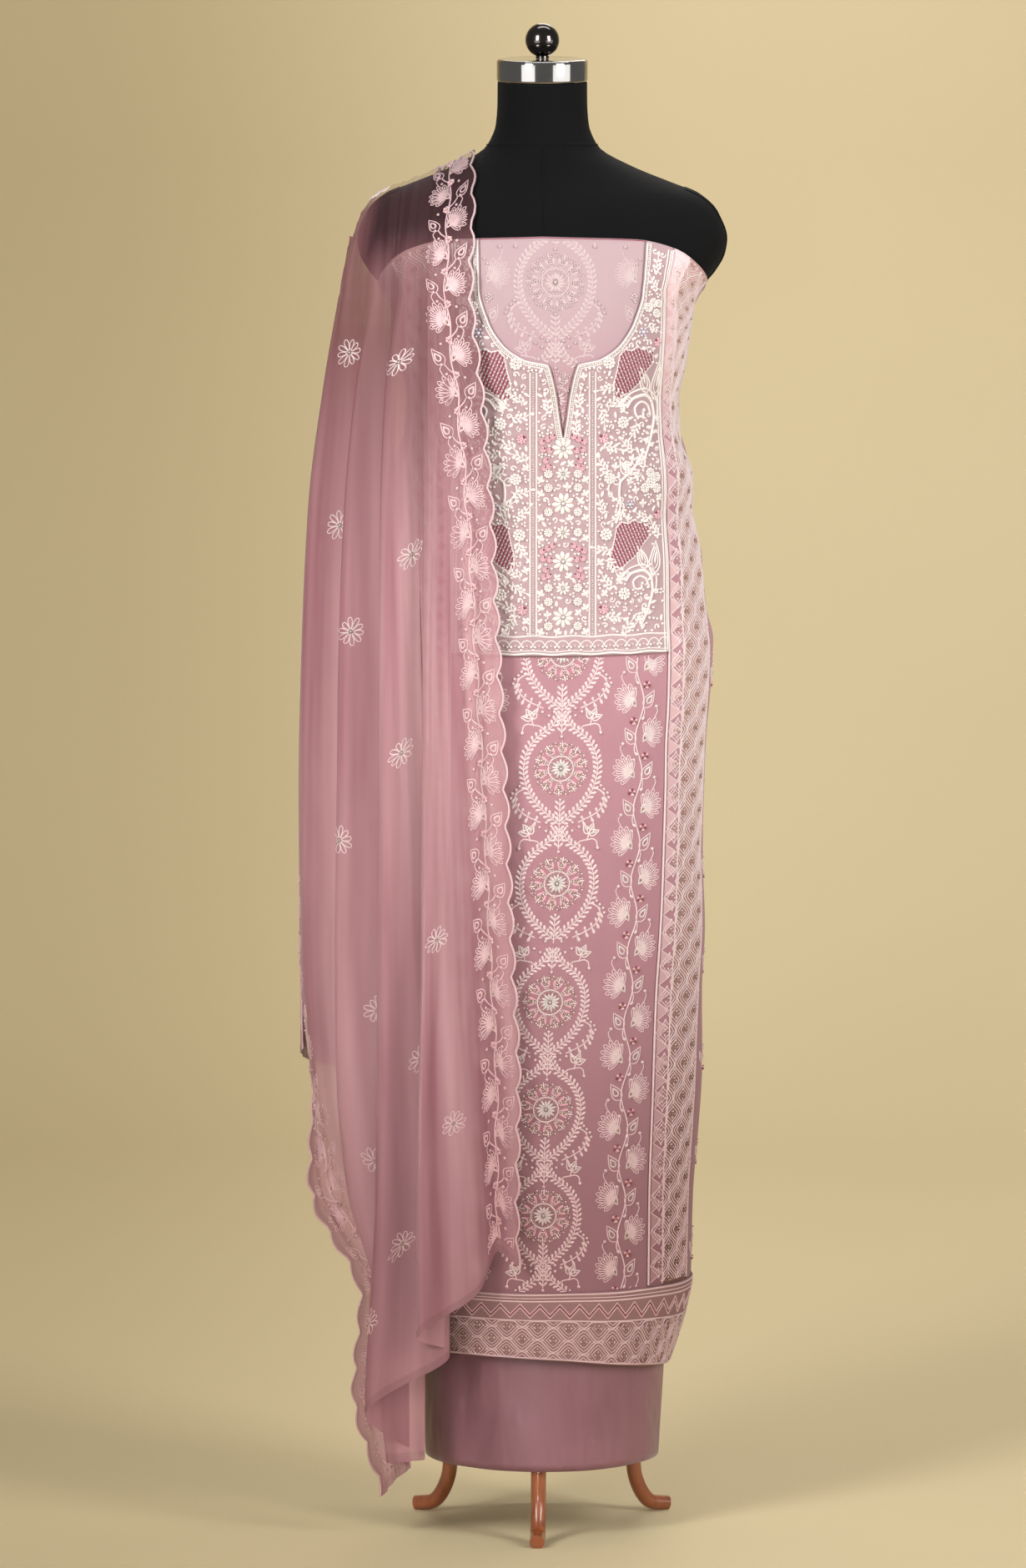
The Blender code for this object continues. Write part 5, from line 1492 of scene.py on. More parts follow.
# %% Lay out the yoke
# what, u, v, turn, scale, radius kept clear
SIDE_WORK = (
    ("hatched", 79, 1264, 0, 1, 24), ("hatched", 74, 1080, 0, 0.95, 23),
    ("scroll", 85, 1232, 0, 1, 16), ("scroll", 80, 1046, 0, 0.86, 14),
    ("branch", 62, 1141, 0, 0.95, 8), ("rosette", 49.5, 1275, 0, 0.95, 7),
    ("rosette", 66, 1210, 20, 0.95, 7), ("rosette", 50, 1151, 0, 0.9, 7),
    ("rosette", 46, 1091, 30, 0.95, 7), ("rosette", 66, 1027, 0, 0.95, 7),
    ("rosette", 96, 1336, 0, 0.8, 6), ("rosette", 107, 1330, 10, 0.8, 6),
    ("rosette", 103, 1342, 40, 0.8, 6), ("rosette", 110, 1342, 0, 0.7, 5),
    ("rose", 43.5, 1194, 0, 1, 6), ("rose", 43, 1011, 0, 1, 6), ("rose", 109, 1109, 0, 0.9, 6),
    ("rose", 110, 1294, 0, 0.9, 6), ("rosette", 98, 1144, 0, 0.9, 7),
    ("rosette", 106, 1150, 20, 0.75, 6), ("rosette", 98, 1155, 40, 0.75, 6),
    ("rosette", 106, 1138, 0, 0.75, 6), ("rosette", 91, 1139, 10, 0.75, 6),
    ("crystal", 90, 1307, 0, 1, 6), ("crystal", 73, 1122, 0, 0.8, 5),
    ("twig", 105, 1384, 70, 0.95, 8), ("twig", 103, 1364, 110, 0.95, 8),
)
MIDDLE_WORK = (
    ("flower", 0, 1184, 0, 1.05, 12), ("flower", 0, 1125, 15, 1.05, 12),
    ("flower", 0, 1063, 5, 1, 12), ("flower", 0, 1003.5, 20, 1, 12),
    ("flower", 0, 1157, 0, 0.68, 8), ("flower", 0, 1094, 10, 0.68, 8),
    ("flower", 0, 1034.5, 0, 0.68, 8),
)
ROSE_SPOTS = ((16, 14), (21, 3), (18, -9), (14, 2), (11, 17), (22, 11), (20, -17), (15, -15))
KEPT_CLEAR = ((106, -40, 5), (104, -28, 6), (108, -8, 6), (109, 12, 9), (109, 30, 7), (98, 22, 7),
              (98, -52, 4))
placed, figures = [], []


def put(name, u, v, turn, scale, radius, mirrored=False):
    figures.append(Copy(yoke_parts[name], u, v, turn, scale, mirrored))
    placed.append((u, v, radius))


for row in MIDDLE_WORK:
    put(*row)
for side in (-1, 1):
    for name, u, v, turn, scale, radius in SIDE_WORK:
        put(name, side * u, v, side * turn, scale, radius, side < 0)
    for u, rise in ROSE_SPOTS:
        for v in (1180, 1063):
            put("rose", side * u, v + rise, 0, 0.62, 3.2, side < 0)
    for v in (1157, 1142, 1116, 1094, 1035, 1020, 994):
        put("rosette", side * 15.5, v, 0, 0.66, 5)
        put("sprig", side * 23.6, v - 6, side * 28, 0.95, 4.5)
    placed += [(side * u, v + rise, radius) for v in (1232, 1046) for u, rise, radius in KEPT_CLEAR]
lay_motifs("yoke_figures", figures, on_yoke)

# %% Fill the ground between
dice = random.Random(5)
FILLERS = (("twig", 8.0, 3000), ("curl", 4.3, 3000), ("sprig", 4.3, 5000), ("leaf", 3.0, 6000),
           ("knots", 3.0, 5000), ("knot", 1.75, 14000))
neck_heights = np.linspace(0.98, EDGE_MIDDLE, 900)
neck_widths = 1000 * neck_half(neck_heights)
neck_line = even_line([(neck_half(v), v) for v in np.linspace(EDGE_MIDDLE, 1.192, 500)], 0.003)
neck_line = 1000 * np.concatenate([neck_line, neck_line * (-1, 1)])


def on_ground(u, v, room):
    """Whether a spot lies inside the yoke's cords with some room round it."""
    beside = abs(abs(u) - BEAD_LINE) > 4.4 + 0.75 * room or v > 1268
    in_frame = abs(u) < 113.4 - 0.75 * room and 984.5 + 0.75 * room < v < 1402
    if not (beside and in_frame) or abs(u) < np.interp(v * MM, neck_heights, neck_widths):
        return False
    return np.hypot(*(neck_line - (u, v)).T).min() > NECK_CORDS + 0.75 * room


filling = []
taken = np.zeros((9000, 3))
taken[:len(placed)] = placed
count = len(placed)
for name, radius, tries in FILLERS:
    for _ in range(tries):
        u, v = dice.uniform(-113, 113), dice.uniform(985, 1402)
        apart = np.hypot(taken[:count, 0] - u, taken[:count, 1] - v) - taken[:count, 2]
        if apart.min() > radius and on_ground(u, v, radius):
            taken[count] = (u, v, radius)
            count += 1
            turn = dice.uniform(-50, 50) if name == "sprig" else dice.uniform(0, 360)
            filling.append(Copy(yoke_parts[name], u, v, turn, dice.uniform(0.88, 1.0), u < 0))
print(len(filling), "sprigs and knots fill the ground")
lay_motifs("yoke_filling", filling, on_yoke)

# %% [markdown]
# ## Side strips and hem band
#
# Beside the yoke and the vines runs a strip with three parts: a thin line, a zigzag of folded
# organza, and a net of ogee eyes in cord with a bead in each. The hem band repeats the zigzag and
# the net, turned on their side, under rows of piping.

# %% Zigzags and nets
UPRIGHT, ALONG_HEM = 1, -1  # the step through (u, v): the work along the hem swaps the two
Net = namedtuple("Net", "first lines spacing low high wave lie")


def draw_zigzag(plan, inner, outer, low, high, pitch, lie):
    """Folded points with a seam down both sloping edges, or along the hem a groove between."""
    for k in range(int((high - low) / pitch)):
        start = low + k * pitch
        corners = [(inner, start), (outer, start + pitch / 2), (inner, start + pitch)]
        for ends in (corners[:2], corners[1:]):
            line = even_line(ends, 4)
            if lie == ALONG_HEM:
                stroke(plan, line[:, ::lie], 2.0, WINE, 0.3)
                for shift in (-2.1, 2.1):
                    stroke(plan, (line + (shift, 0))[:, ::lie], 1.2, PALE, 0.9)
            else:
                stroke(plan, line, 1.5, PALE, 0.9)


def eye_line(net, size, count=16):
    """An ogee eye's outline: it is widest in the middle and drawn to a point at both ends."""
    turns = np.linspace(0, math.tau, count + 1)
    along = np.cos(turns)
    wide = np.sign(np.sin(turns)) * (1 + np.cos(math.pi * along)) / 2
    line = np.stack([size * net.spacing * wide, size * net.wave / 2 * along], 1)
    return line[:, ::net.lie]


def draw_eye(plan, net):
    """What lies in one eye of the net: two smaller outlines, one of them beaded, and beads."""
    for share, width in ((0.76, 1.3), (0.50, 1.1)):
        stroke(plan, eye_line(net, share), width, PALE, 1.0)
    threads = [CREAM if n % 3 else GOLD for n in range(8)]
    dots(plan, eye_line(net, 0.24, 8)[:-1], 0.85, *threads)
    dots(plan, [(0, 0)], 1.3, GOLD)
    dots(plan, [(0, rise * net.wave)[::net.lie] for rise in (0.36, -0.36)], 1.1, CREAM)


def draw_waves(plan, net):
    """The net's cords: each waves against its neighbours and meets them by turns."""
    first, lines, spacing, low, high, wave, lie = net
    steps = np.linspace(low, high, int((high - low) / (wave / 12)) + 1)
    for k in range(lines):
        swing = (1 if k % 2 else -1) * spacing / 2 * np.cos(math.tau * (steps - low) / wave)
        swing = np.clip(swing, -spacing / 2 if k else 0, spacing / 2 if k < lines - 1 else 0)
        line = np.stack([first + k * spacing + swing * 0.94, steps], 1)
        stroke(plan, line[:, ::lie], 1.9, PALE, 1.2)


def net_eyes(eye, net, mirrored=False):
    """Copies of the eye for every mesh of the net, with the part-eyes at its sides."""
    first, lines, spacing, low, high, wave, lie = net
    spots = [(first + (k + 0.5) * spacing, low + (n + k % 2 / 2) * wave)[::lie]
             for k in range(-1, lines) for n in range(int((high - low) / wave) + 2)]
    return [Copy(eye, -u if mirrored else u, v, mirrored=mirrored) for u, v in spots]


# %% Work the side strips
STRIP_LOW, STRIP_TOP = 1000 * STRIP_FOOT + 4, 1000 * EDGE_MIDDLE - 4
STRIP_NET = Net(143.0, 4, 15.6, STRIP_LOW, STRIP_TOP, 36.2, UPRIGHT)
ZIGZAG = (123.5, 139.5, STRIP_LOW, STRIP_TOP, 19.0)
WORK_INNER, WORK_OUTER = 0.1210, 0.1925


def draw_strip(plan):
    """The right strip; the left one is its mirror image."""
    draw_waves(plan, STRIP_NET)
    for u, width in ((121.9, 1.8), (141.4, 1.8), (190.8, 2.2)):
        stroke(plan, upright(u, STRIP_LOW - 2, STRIP_TOP, 200), width, PALE, 1.0)
    draw_zigzag(plan, *ZIGZAG, UPRIGHT)


def draw_organza(plan, inner, outer, low, high, pitch):
    """The folded points themselves, as flat triangles."""
    flap = template("flap", lambda bm: bmesh.ops.create_circle(
        bm, segments=3, radius=1.0, cap_ends=True))
    for k in range(int((high - low) / pitch)):
        start = low + k * pitch
        corners = np.zeros((3, 3))
        corners[list(flap.polygons[0].vertices)] = (
            (outer, start + pitch / 2, 0.4), (inner, start + pitch, 0.4), (inner, start, 0.4))
        plan.append((flap, corners, 0))


def keep_strip(u, v, h):
    inside = (np.abs(u) < WORK_OUTER) & (np.abs(u) > WORK_INNER)
    return inside & (v > STRIP_FOOT + 0.001) & (v < STRIP_TOP * MM + 0.002)


strip_work = flat_motif("strip_work", draw_strip)
strip_eye = flat_motif("strip_eye", draw_eye, STRIP_NET)
folded_points = flat_motif("folded_points", draw_organza, *ZIGZAG)
for label, mirrored in (("right", False), ("left", True)):
    work = [Copy(strip_work, mirrored=mirrored), *net_eyes(strip_eye, STRIP_NET, mirrored)]
    lay_motifs("strip_work_" + label, work, on_trim, keep_strip, "lattice_work")
    lay_motifs("folded_points_" + label, [Copy(folded_points, mirrored=mirrored)], on_trim,
               None, "lattice_work", [organza])

# %% Work the hem band
HEM_NET = Net(204.0, 4, 13.3, -236, 236, 33.0, ALONG_HEM)
EYES_LOW, EYES_HIGH = 0.2036, 0.2442


def draw_hem(plan):
    draw_waves(plan, HEM_NET)
    wide = np.linspace(HEM_NET.low, HEM_NET.high, 220)
    for v, width in ((272.5, 1.9), (268.8, 1.3), (265.5, 1.9), (244.8, 1.6), (203.5, 1.9)):
        stroke(plan, np.stack([wide, v + 0.3 * np.sin(wide * 0.060)], 1), width, PALE, 1.1)
    draw_zigzag(plan, 260.6, 249.4, HEM_NET.low, HEM_NET.high, 21.2, ALONG_HEM)


def keep_front(u, v, h):
    return (u > left_side(v) + 0.001) & (u < right_side(v) - 0.001)


def keep_hem_eyes(u, v, h):
    return keep_front(u, v, h) & (v > EYES_LOW) & (v < EYES_HIGH)


hem_work = flat_motif("hem_work", draw_hem)
lay_motifs("hem_work", [Copy(hem_work)], on_trim, keep_front, "lattice_work")
hem_eye = flat_motif("hem_eye", draw_eye, HEM_NET)
lay_motifs("hem_eyes", net_eyes(hem_eye, HEM_NET), on_trim, keep_hem_eyes, "lattice_work")

# %% [markdown]
# ## The dupatta
#
# One length of chiffon, about 2.4 m long, lies over the shoulder and hangs down the front and the
# back. Its fold lines are read off from the shoulder to each hem: how far each lies from the
# form's axis, to the side and to the front, at a few heights. Smooth curves join them.

# %% Fold lines
FRONT_LEVELS = np.array((1340, 1240, 1110, 950, 800, 630, 500, 380, 260, 160, 50)) / 1000
BACK_LEVELS = np.array((1340, 1200, 1000, 800, 600, 400)) / 1000
ACROSS_UNITS = (1,) + 13 * (1000,)
# share of the way across, x on the shoulder, height of the hem, then x at each level
FRONT_X = np.array((
    (0, -74.5, 309, -79, -67, -56, -48, -40, -33, -27, -28, -26, -26, -26),
    (0.05, -86, 322, -94, -84, -75, -70, -64, -59, -53, -50, -46, -46, -46),
    (0.11, -98, 283, -108, -103, -97, -94, -90, -86, -80, -72, -66, -66, -66),
    (0.22, -114, 231, -124, -124, -124, -126, -127, -128, -131, -133, -133, -132, -132),
    (0.29, -126, 211, -134, -133, -130, -126, -120, -112, -104, -98, -96, -96, -96),
    (0.42, -142, 142, -155, -168, -173, -174, -174, -176, -177, -178, -184, -189, -189),
    (0.52, -156, 92, -160, -160, -152, -146, -140, -134, -128, -125, -124, -124, -124),
    (0.63, -170, 85, -182, -200, -212, -218, -220, -222, -220, -208, -176, -172, -160),
    (0.72, -182, 78, -192, -190, -184, -182, -180, -180, -178, -172, -150, -146, -140),
    (0.9, -196, 62, -217, -234, -250, -257, -260, -260, -248, -226, -168, -176, -156),
    (1, -203, 46, -212, -224, -236, -242, -244, -244, -241, -244, -190, -197, -166),
)) / ACROSS_UNITS
FRONT_Y = np.array((
    (-123, -137, -140, -142, -143, -144, -146, -148, -150, -150, -150),
    (-119, -132, -135, -136, -136, -137, -138, -139, -141, -142, -142),
    (-120, -137, -142, -145, -147, -149, -152, -155, -158, -158, -158),
    (-116, -133, -142, -148, -152, -156, -160, -164, -166, -166, -166),
    (-108, -121, -128, -132, -135, -138, -141, -143, -145, -145, -145),
    (-101, -112, -121, -125, -127, -128, -130, -132, -134, -135, -136),
    (-88, -94, -101, -106, -109, -111, -114, -117, -120, -121, -122),
    (-78, -80, -85, -88, -91, -94, -97, -102, -108, -110, -111),
    (-63, -62, -65, -67, -69, -71, -74, -82, -95, -97, -98),
    (-30, -22, -18, -16, -18, -22, -36, -60, -83, -86, -88),
    (0, 12, 20, 24, 22, 14, -8, -40, -70, -72, -78),
)) / 1000
BACK_X = np.array((
    (0, -74.5, 400, -60, -52, -44, -38, -34, -32), (0.12, -95, 410, -82, -80, -80, -82, -84, -86),
    (0.25, -115, 425, -106, -116, -126, -134, -138, -140),
    (0.36, -132, 440, -122, -116, -106, -100, -96, -94),
    (0.52, -152, 455, -150, -164, -176, -186, -190, -192),
    (0.64, -168, 470, -166, -164, -158, -152, -148, -146),
    (0.85, -191, 495, -202, -224, -240, -248, -252, -250),
    (1, -203, 510, -214, -236, -252, -257, -259, -257),
)) / ACROSS_UNITS[:9]
BACK_Y = np.array((
    (112, 116, 126, 138, 140, 142), (110, 124, 140, 152, 156, 158), (106, 128, 150, 164, 170, 172),
    (96, 110, 128, 142, 147, 148), (86, 100, 116, 130, 135, 136), (70, 80, 94, 106, 112, 114),
    (44, 56, 64, 72, 78, 80), (16, 36, 46, 52, 54, 54),
)) / 1000
ON_SHOULDER, SHOULDER_GAP, SHOULDER_END = 0.09, 0.0040, 0.1979
ARM_CAP_TOP, CLOTH_UNDER, UNDER_FROM, UNDER_FULL = 1.3990, 0.0050, 1.4400, 1.4050


def ridge_height(x):
    """The height of the shoulder's top at this distance from the form's axis."""
    rings = FORM_RINGS[FORM_RINGS[:, 0] >= ARM_CAP_TOP]
    return smooth_at(-rings[:, 1], rings[:, 0], -np.minimum(np.abs(x), SHOULDER_END))


def fall_row(front, across, down):
    """Points across one fall, down from the shoulder's top by a share from 0 to 1."""
    levels, table_x, table_y = (
        (FRONT_LEVELS, FRONT_X, FRONT_Y) if front else (BACK_LEVELS, BACK_X, BACK_Y))
    places, first = table_x[:, 0], levels[0]
    shoulder, hem = (smooth_at(places, column, across) for column in table_x.T[1:3])
    z = first - (first - hem) * max(down - ON_SHOULDER, 0) / (1 - ON_SHOULDER)
    x, y = (smooth_at(places, [smooth_at(levels[::-1], row[::-1], z) for row in rows], across)
            for rows in (table_x[:, 3:], table_y))
    if down < ON_SHOULDER:
        share = down / ON_SHOULDER
        z = ridge_height(shoulder) - (ridge_height(shoulder) - first) * share**1.7
        x = shoulder + (x - shoulder) * ease(0.0, 1.15, share)
        sign = -1 if front else 1
        half, ahead, behind = form_ring(z)
        depth = (ahead if front else behind) * np.sqrt(np.maximum(0, 1 - (x / half) ** 2))
        under = CLOTH_UNDER * (1 - ease(UNDER_FULL, UNDER_FROM, z))
        lying = sign * (depth + SHOULDER_GAP * share**0.5 + under)
        y = sign * np.maximum(sign * lying, sign * y * share**0.8)
        out = SHOULDER_GAP * (1 - share)
        steep = 0.4 + 0.6 * ease(0.17, 0.20, np.abs(shoulder))
        x, z = x - out * steep, z + out * (1.25 - steep)
    return np.stack([AXIS_X + x, AXIS_Y + y, z], axis=-1)


# %% [markdown]
# The two falls meet on the shoulder's top, where a small shift that fades out joins them without
# a step. Fine ripples of uneven width run down the cloth and only ever lift it, so it stays clear
# of the lengths below. Both long edges are cut in scallops.

# %% The whole length as one grid
FRONT_ROWS, BACK_FALL_ROWS, FALL_COLUMNS = 270, 200, 120
SCALLOP, SCALLOP_DEPTH, TURNED_OVER = 0.0405, 0.0062, 0.70
RIPPLE_LEAST, RIPPLE_MORE, CLOTH_WIDE, CLOTH_FALL = 0.0011, 0.0034, 0.6, 1.2
across = np.linspace(1.0, 0.0, FALL_COLUMNS + 1)
joint = (fall_row(False, across, 0.0) - fall_row(True, across, 0.0)) / 2


def joined_row(share):
    """A row of the whole length; share runs from 1 at the front hem to -1 at the back hem."""
    front = share >= 0
    fade = 1 - ease(0.0, 0.05, abs(share))
    return fall_row(front, across, abs(share)) + (1 if front else -1) * fade * joint


def unit(vectors):
    return vectors / (np.linalg.norm(vectors, axis=-1, keepdims=True) + 1e-12)


def with_normals(points):
    """A grid's points, each followed by the cloth's direction outward there."""
    outward = unit(np.cross(np.gradient(points, axis=1), np.gradient(points, axis=0)))
    return np.concatenate([points, outward], axis=-1)


def runs_along(points, axis):
    steps = np.linalg.norm(np.diff(points, axis=axis), axis=-1)
    return np.insert(np.cumsum(steps, axis=axis), 0, 0.0, axis=axis)


def pleats(count, drift, start):
    """Narrow ridges that run down the cloth and drift a little sideways."""
    return (0.5 + 0.5 * np.sin(count * across + drift * shares[:, None] + start)) ** 2


shares = np.concatenate([np.linspace(1, 0, FRONT_ROWS + 1),
                         np.linspace(0, -1, BACK_FALL_ROWS + 1)[1:]])
fall = np.array([joined_row(share) for share in shares])
ripple = (RIPPLE_LEAST + RIPPLE_MORE * ease(0.05, 0.5, np.abs(shares)[:, None])) * (
    pleats(37, 1.9, 0.4) + 0.7 * pleats(69, -2.3, 1.0) + 0.4 * pleats(121, 3.4, 2.1))
fall = fall + ripple[..., None] * with_normals(fall)[..., 3:]
uncut = with_normals(fall)
TURNED = (int(np.argmax(fall[:, 0, 2] > TURNED_OVER)), FRONT_ROWS + 70)
for column, inward in ((0, 1), (FALL_COLUMNS, -1)):
    run = runs_along(fall[:, column], 0)
    run = run - run[FRONT_ROWS]
    away = unit(fall[:, column] - fall[:, column + inward])
    bulge = SCALLOP_DEPTH * np.abs(np.sin(math.pi * run / SCALLOP))
    if column == 0:
        bulge[slice(*TURNED)] = 0
    for step in range(4):
        fall[:, column + step * inward] += away * (bulge * (1 - step / 4))[:, None]
widths, lengths = runs_along(fall, 1)[:, -1], runs_along(fall, 0)[-1]
uvs = np.stack(np.broadcast_arrays(across * CLOTH_WIDE, (shares * CLOTH_FALL)[:, None]), axis=-1)
dupatta = cloth_piece("dupatta_chiffon", fall, uvs, [chiffon], "chiffon",
                      ["dupatta_front", "dupatta_shoulder", "dupatta_back"])
print("the dupatta is", [round(1000 * w) for w in (widths.min(), widths.max())], "mm across and",
      round(1000 * lengths.mean()), "mm long")

# %% [markdown]
# ### The dupatta's cord, border vine and daisies
#
# A couched cord follows the scallops. Inside it runs the same climbing vine as on the panel, one
# flower to a scallop. Distances from the edge are measured on the cloth before the scallops are
# cut, so the vine keeps its line. On the front fall, the far edge is turned under above the knee,
# so its cord, scallops and vine stop there.

# %% The map from a flat plan to the chiffon
CELL, BORDER_WIDE, STEM_IN = 0.004, 0.064, 24.5
VINE_END, CORD_R, ABOVE_CLOTH = 0.014, 0.0012, 0.0006


def plan_of(cloth, along, reach):
    """Points and normals at even steps along the cloth and, as far as reach, across it."""
    runs, marks = runs_along(cloth[..., :3], 1), np.arange(0, reach, CELL)
    strips = np.array([[np.interp(marks, run, row[:, k]) for k in range(6)]
                       for run, row in zip(runs, cloth)]).transpose(0, 2, 1)
    even = np.interp(np.arange(0, along[-1], CELL), along, np.arange(len(along)))
    low = np.minimum(even.astype(int), len(along) - 2)
    part = (even - low)[:, None, None]
    return strips[low] * (1 - part) + strips[low + 1] * part


def on_plan(plan, lift, sign=1):
    """A place function: v up from the front hem, u across and 0 at the edge."""
    def place(u, v, h):
        found = bilinear(plan, v / CELL, sign * u / CELL)
        return found[..., :3] + (h + lift)[..., None] * unit(found[..., 3:])
    return place


# %% Cord and border vine
border_flower = flat_motif("border_flower", draw_vine_flower, BLUSH, BLUSH, BLUSH, 2.4)
for name, column, sign in (("outer", 0, 1), ("inner", FALL_COLUMNS, -1)):
    along = runs_along(uncut[:, column, :3], 0)
    plan = plan_of(uncut[:, ::sign], along, BORDER_WIDE)
    length, (low, high) = len(plan) * CELL, (along[list(TURNED)] if column == 0 else (9.0, 9.0))

    def keep(u, v, h):
        shown = (v < low) | (v > high)
        return shown & (v > VINE_END) & (v < length - VINE_END) & (sign * u > 0.001)

    stem = flat_motif(name + "_stem", draw_stem, 1000 * length, BLUSH, 2.4)
    copies = [Copy(stem, sign * STEM_IN, 1000 * length)]
    copies += [Copy(border_flower, sign * STEM_IN, 1000 * length - VINE_PITCH * (k + 1) / 2, 0,
                    0.98, k % 2 == 0) for k in range(int(2000 * length / VINE_PITCH))]
    lay_motifs(name + "_border_vine", copies, on_plan(plan, 0.0001, sign), keep)
    shown = [slice(None)] if column else [slice(0, TURNED[0]), slice(TURNED[1], None)]
    cord = tube_along(name + "_edge_cord", [fall[rows, column] for rows in shown], CORD_R, 2)
    finish_piece(name + "_edge_cord", cord, [THREADS[BLUSH]], "thread_work")

# %% Turned-up hems at both ends
cut = with_normals(fall)
hems = [cloth_piece("dupatta_hem_" + label, cut[rows, :, :3] + ABOVE_CLOTH * cut[rows, :, 3:], None,
                    [chiffon], "chiffon", ())
        for label, rows in (("front", slice(None, 3)), ("back", slice(-3, None)))]

# %% Daisies, laid from the front and from the back


def draw_daisy(plan):
    for k in range(10):
        angle = 36 * k + 6
        loop_petal(plan, around(2.5, angle), angle, 14.5 if k % 3 else 12.5, 6.0, PALE)
    dots(plan, [(0, 0)], 1.6, SILVER)
    dots(plan, ring(3.2, 7), 1.0, GOLD, SILVER)


daisy = flat_motif("daisy", draw_daisy)
cloth_tree = BVHTree.FromPolygons(
    [tuple(point) for point in fall.reshape(-1, 3)],
    [tuple(polygon.vertices) for polygon in dupatta.data.polygons])
along_fall, across_fall = runs_along(fall, 0)[:, FALL_COLUMNS // 2], runs_along(fall, 1)
fall_plan = plan_of(cut, along_fall, widths.max())


def spot_on_cloth(x, z, sign):
    """Where on the cloth, across and along it, a point lies that is seen from one side."""
    hit = cloth_tree.ray_cast((x, sign, z), (0, -sign, 0))[0] or (x, 0.0, z)
    away = np.linalg.norm(fall - np.array(hit), axis=-1)
    row, column = np.unravel_index(away.argmin(), away.shape)
    return 1000 * across_fall[row, column], 1000 * along_fall[row]


def inside_edges(u, v, h):
    rows = np.interp(v, along_fall, np.arange(len(along_fall)))
    return (u > 0.004) & (u < np.interp(rows, np.arange(len(widths)), widths) - 0.004)


# how far to the left or right of the middle, height and turn
FRONT_DAISIES = (
    (-149, 1457, 10), (-175, 1278, 80), (-122, 1274, 30), (-184, 1095, 60), (-109, 1070, 0),
    (-83, 660, 20), (-63, 462, 45), (-152, 414, 70), (-150, 576, 15), (-102, 531, 50),
    (-175, 983, 25), (-120, 860, 5), (-185, 760, 40), (-155, 240, 30), (-120, 330, 65),
)
BACK_DAISIES = (
    (150, 1390, 20), (105, 1250, 50), (185, 1200, 5), (140, 1080, 70), (85, 960, 30),
    (190, 930, 45), (135, 800, 15), (180, 660, 60), (95, 640, 25), (140, 530, 10),
)
for name, spots, sign in (("front", FRONT_DAISIES, -1), ("back", BACK_DAISIES, 1)):
    copies = [Copy(daisy, *spot_on_cloth(-sign * x * MM, z * MM, sign), turn, 0.92)
              for x, z, turn in spots]
    lay_motifs(name + "_daisies", copies, on_plan(fall_plan, 0.0002), inside_edges)

# %% [markdown]
# ## Camera, light and floor
#
# The camera stands 13 m off with a long lens, a little above the suit, so the cloth keeps its
# true proportions. A tall soft box stands at each side in front, both aimed high so that the
# light falls off towards the hem, with a wide window below each and one narrow lamp for the foot.
# Two lamps light the back and the wall, and the floor sweeps up behind as a pale backdrop.

# %% Camera and lights
LOOK_AT = Vector((0.0, 0.0, 0.808))
DISTANCE, CAMERA_RISE = 13.0, math.radians(7.2)
FRAME_HEIGHT, SENSOR = 1.692, 36.0


def aimed(name, data, at, aim):
    """Puts a camera or a lamp in the scene, turned towards a point."""
    obj = bpy.data.objects.new(name, data)
    obj.location = at
    obj.rotation_euler = (Vector(aim) - Vector(at)).to_track_quat("-Z", "Y").to_euler()
    bpy.context.scene.collection.objects.link(obj)
    return obj


lens = bpy.data.cameras.new("camera")
place = LOOK_AT + Vector((0.0, -DISTANCE, DISTANCE * math.tan(CAMERA_RISE)))
lens.sensor_width, lens.clip_end = SENSOR, 60.0
lens.lens = SENSOR * (LOOK_AT - place).length / FRAME_HEIGHT
bpy.context.scene.camera = aimed("camera", lens, place, LOOK_AT)
print("lens", round(lens.lens, 1), "mm")

for name, at, aim, size, power, spread in (
        ("key", (-1.75, -2.5, 2.5), (0.0, 0.0, 1.45), (0.9, 1.7), 34, 110),
        ("fill", (2.5, -2.3, 2.3), (0.0, 0.0, 1.35), (1.1, 2.0), 34, 110),
        ("low_light", (-0.95, -5.0, 0.75), (-0.1, 0.0, 0.12), (0.9, 0.9), 0.85, 16),
        ("left_window", (-1.76, -2.43, 1.22), (0.0, 0.0, 1.3), (1.9, 0.9), 11, 180),
        ("right_window", (2.33, -1.89, 1.22), (0.0, 0.0, 1.3), (2.6, 0.9), 14, 180),
        ("back_light", (0.4, 3.0, 3.2), (0.0, 0.0, 1.0), (1.6, 1.6), 22, 180),
        ("wall_light", (0.5, 0.9, 4.6), (0.2, 3.8, 0.9), (3.0, 0.8), 62, 150)):
    lamp = bpy.data.lights.new(name, "AREA")
    lamp.shape = "RECTANGLE"
    lamp.size, lamp.size_y = size
    lamp.energy, lamp.spread, lamp.color = power, math.radians(spread), (1.0, 0.985, 0.97)
    aimed(name, lamp, at, aim)
world = bpy.data.worlds.new("studio")
world.use_nodes = True
sky = world.node_tree.nodes["Background"].inputs
sky["Color"].default_value, sky["Strength"].default_value = (1.0, 0.97, 0.93, 1.0), 0.17
bpy.context.scene.world = world
bpy.context.scene.view_settings.view_transform = "Standard"

# %% The backdrop: one sheet that sweeps up, seen from its front alone
FLOOR_HALF, FLOOR_FRONT, SWEEP_BACK, SWEEP_R, SWEEP_TOP = 4.0, -7.0, 2.6, 1.2, 4.5


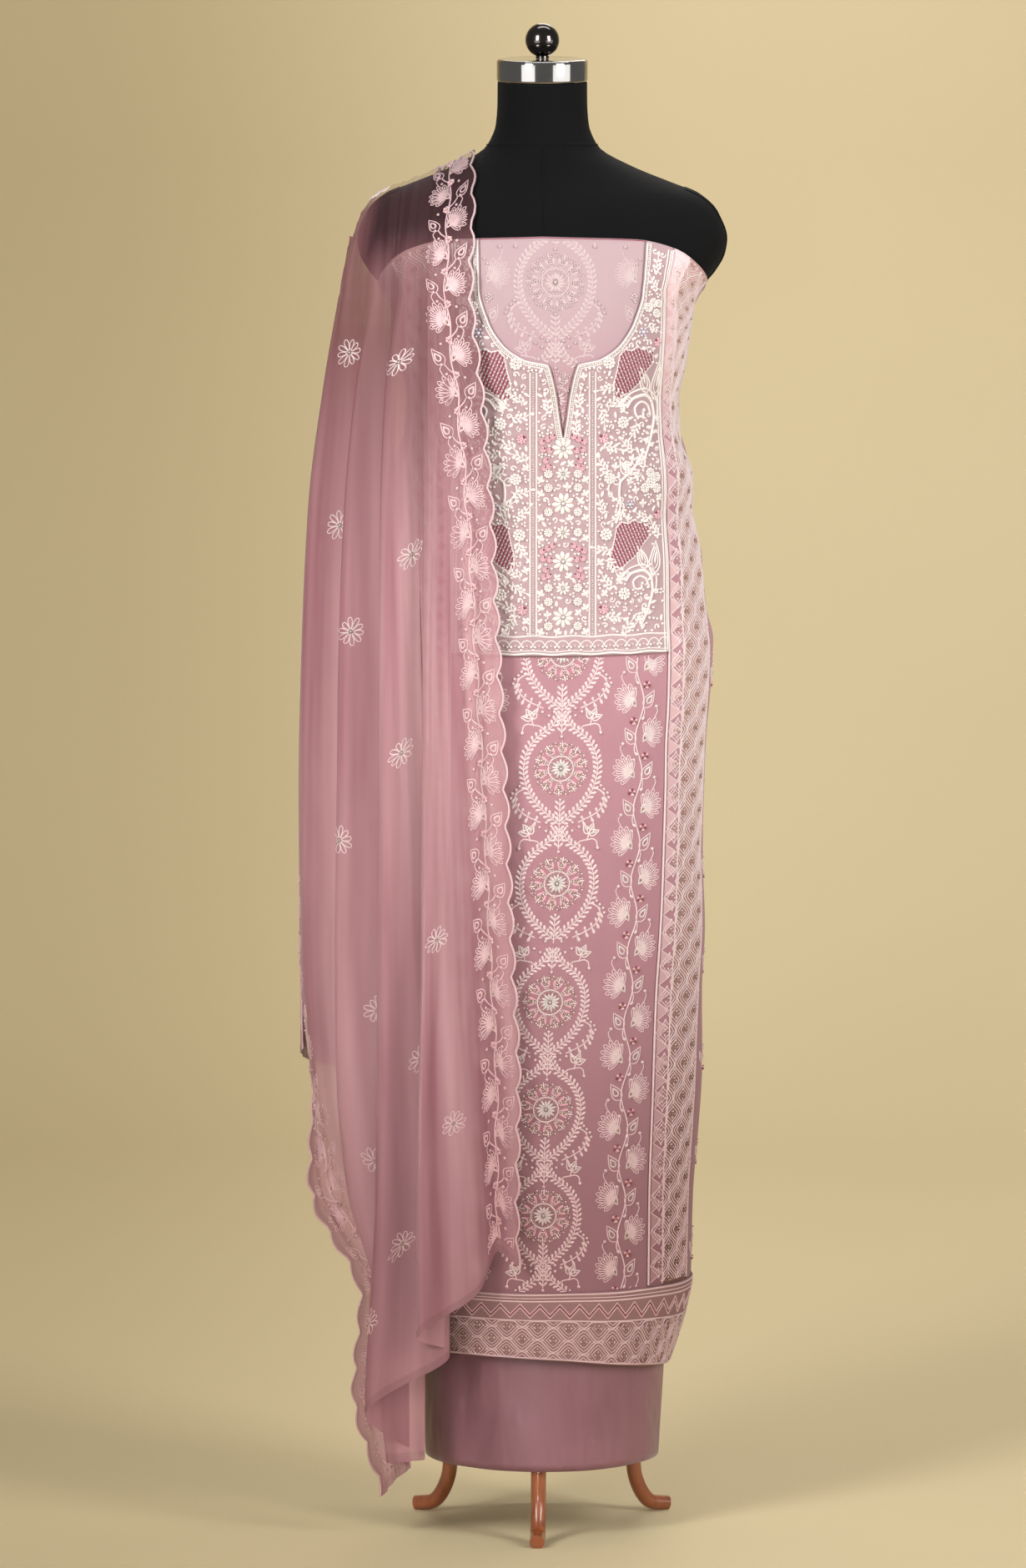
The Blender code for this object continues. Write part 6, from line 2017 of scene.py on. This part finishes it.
def sweep(bm):
    turns = np.linspace(0, math.pi / 2, 13)
    path = [(SWEEP_BACK + SWEEP_R * math.sin(t), SWEEP_R * (1 - math.cos(t))) for t in turns]
    start = [bm.verts.new((x, FLOOR_FRONT, 0.0)) for x in (-FLOOR_HALF, FLOOR_HALF)]
    last, here = [bm.edges.new(start)], (FLOOR_FRONT, 0.0)
    for y, z in path + [(SWEEP_BACK + SWEEP_R, SWEEP_TOP)]:
        made = bmesh.ops.extrude_edge_only(bm, edges=last)["geom"]
        verts = [item for item in made if isinstance(item, bmesh.types.BMVert)]
        bmesh.ops.translate(bm, verts=verts, vec=(0, y - here[0], z - here[1]))
        last = [item for item in made if isinstance(item, bmesh.types.BMEdge)]
        here = (y, z)
    bmesh.ops.recalc_face_normals(bm, faces=bm.faces)
    bmesh.ops.reverse_faces(bm, faces=bm.faces)


floor_mesh = edit_mesh("studio_floor", sweep)
floor_mesh.shade_smooth()
paper, tree, shader, place = new_material("backdrop paper", 0.9)
clouds = use_group(tree, soft_cloud_group, Scale=0.8, Vector=place["Object"])["Mask"]
tone = mix_colours(tree, clouds, (0.72, 0.60, 0.375), (0.76, 0.64, 0.40))
split = split_axes(tree, place["Object"])
# Painted shade on the paper: darker towards the left and towards the floor, where less light falls.
for axis, far, near, share in ((0, 0.30, -0.65, 0.75), (2, 1.3, 0.0, 0.35)):
    shade = ramp(tree, split[axis], far, near, 0.0, share)
    tone = mix_colours(tree, shade, tone, (0.44, 0.355, 0.195))
plug(tree, tone, shader["Base Color"])
one_sided = add_node(tree, "MixShader", Fac=add_node(tree, "NewGeometry").outputs["Backfacing"])
plug(tree, tree.nodes["Principled BSDF"].outputs["BSDF"], one_sided.inputs[1])
plug(tree, add_node(tree, "BsdfTransparent").outputs["BSDF"], one_sided.inputs[2])
plug(tree, one_sided.outputs["Shader"], tree.nodes["Material Output"].inputs["Surface"])
floor_mesh.materials.append(paper)
floor = bpy.data.objects.new("studio_floor", floor_mesh)
bpy.context.scene.collection.objects.link(floor)
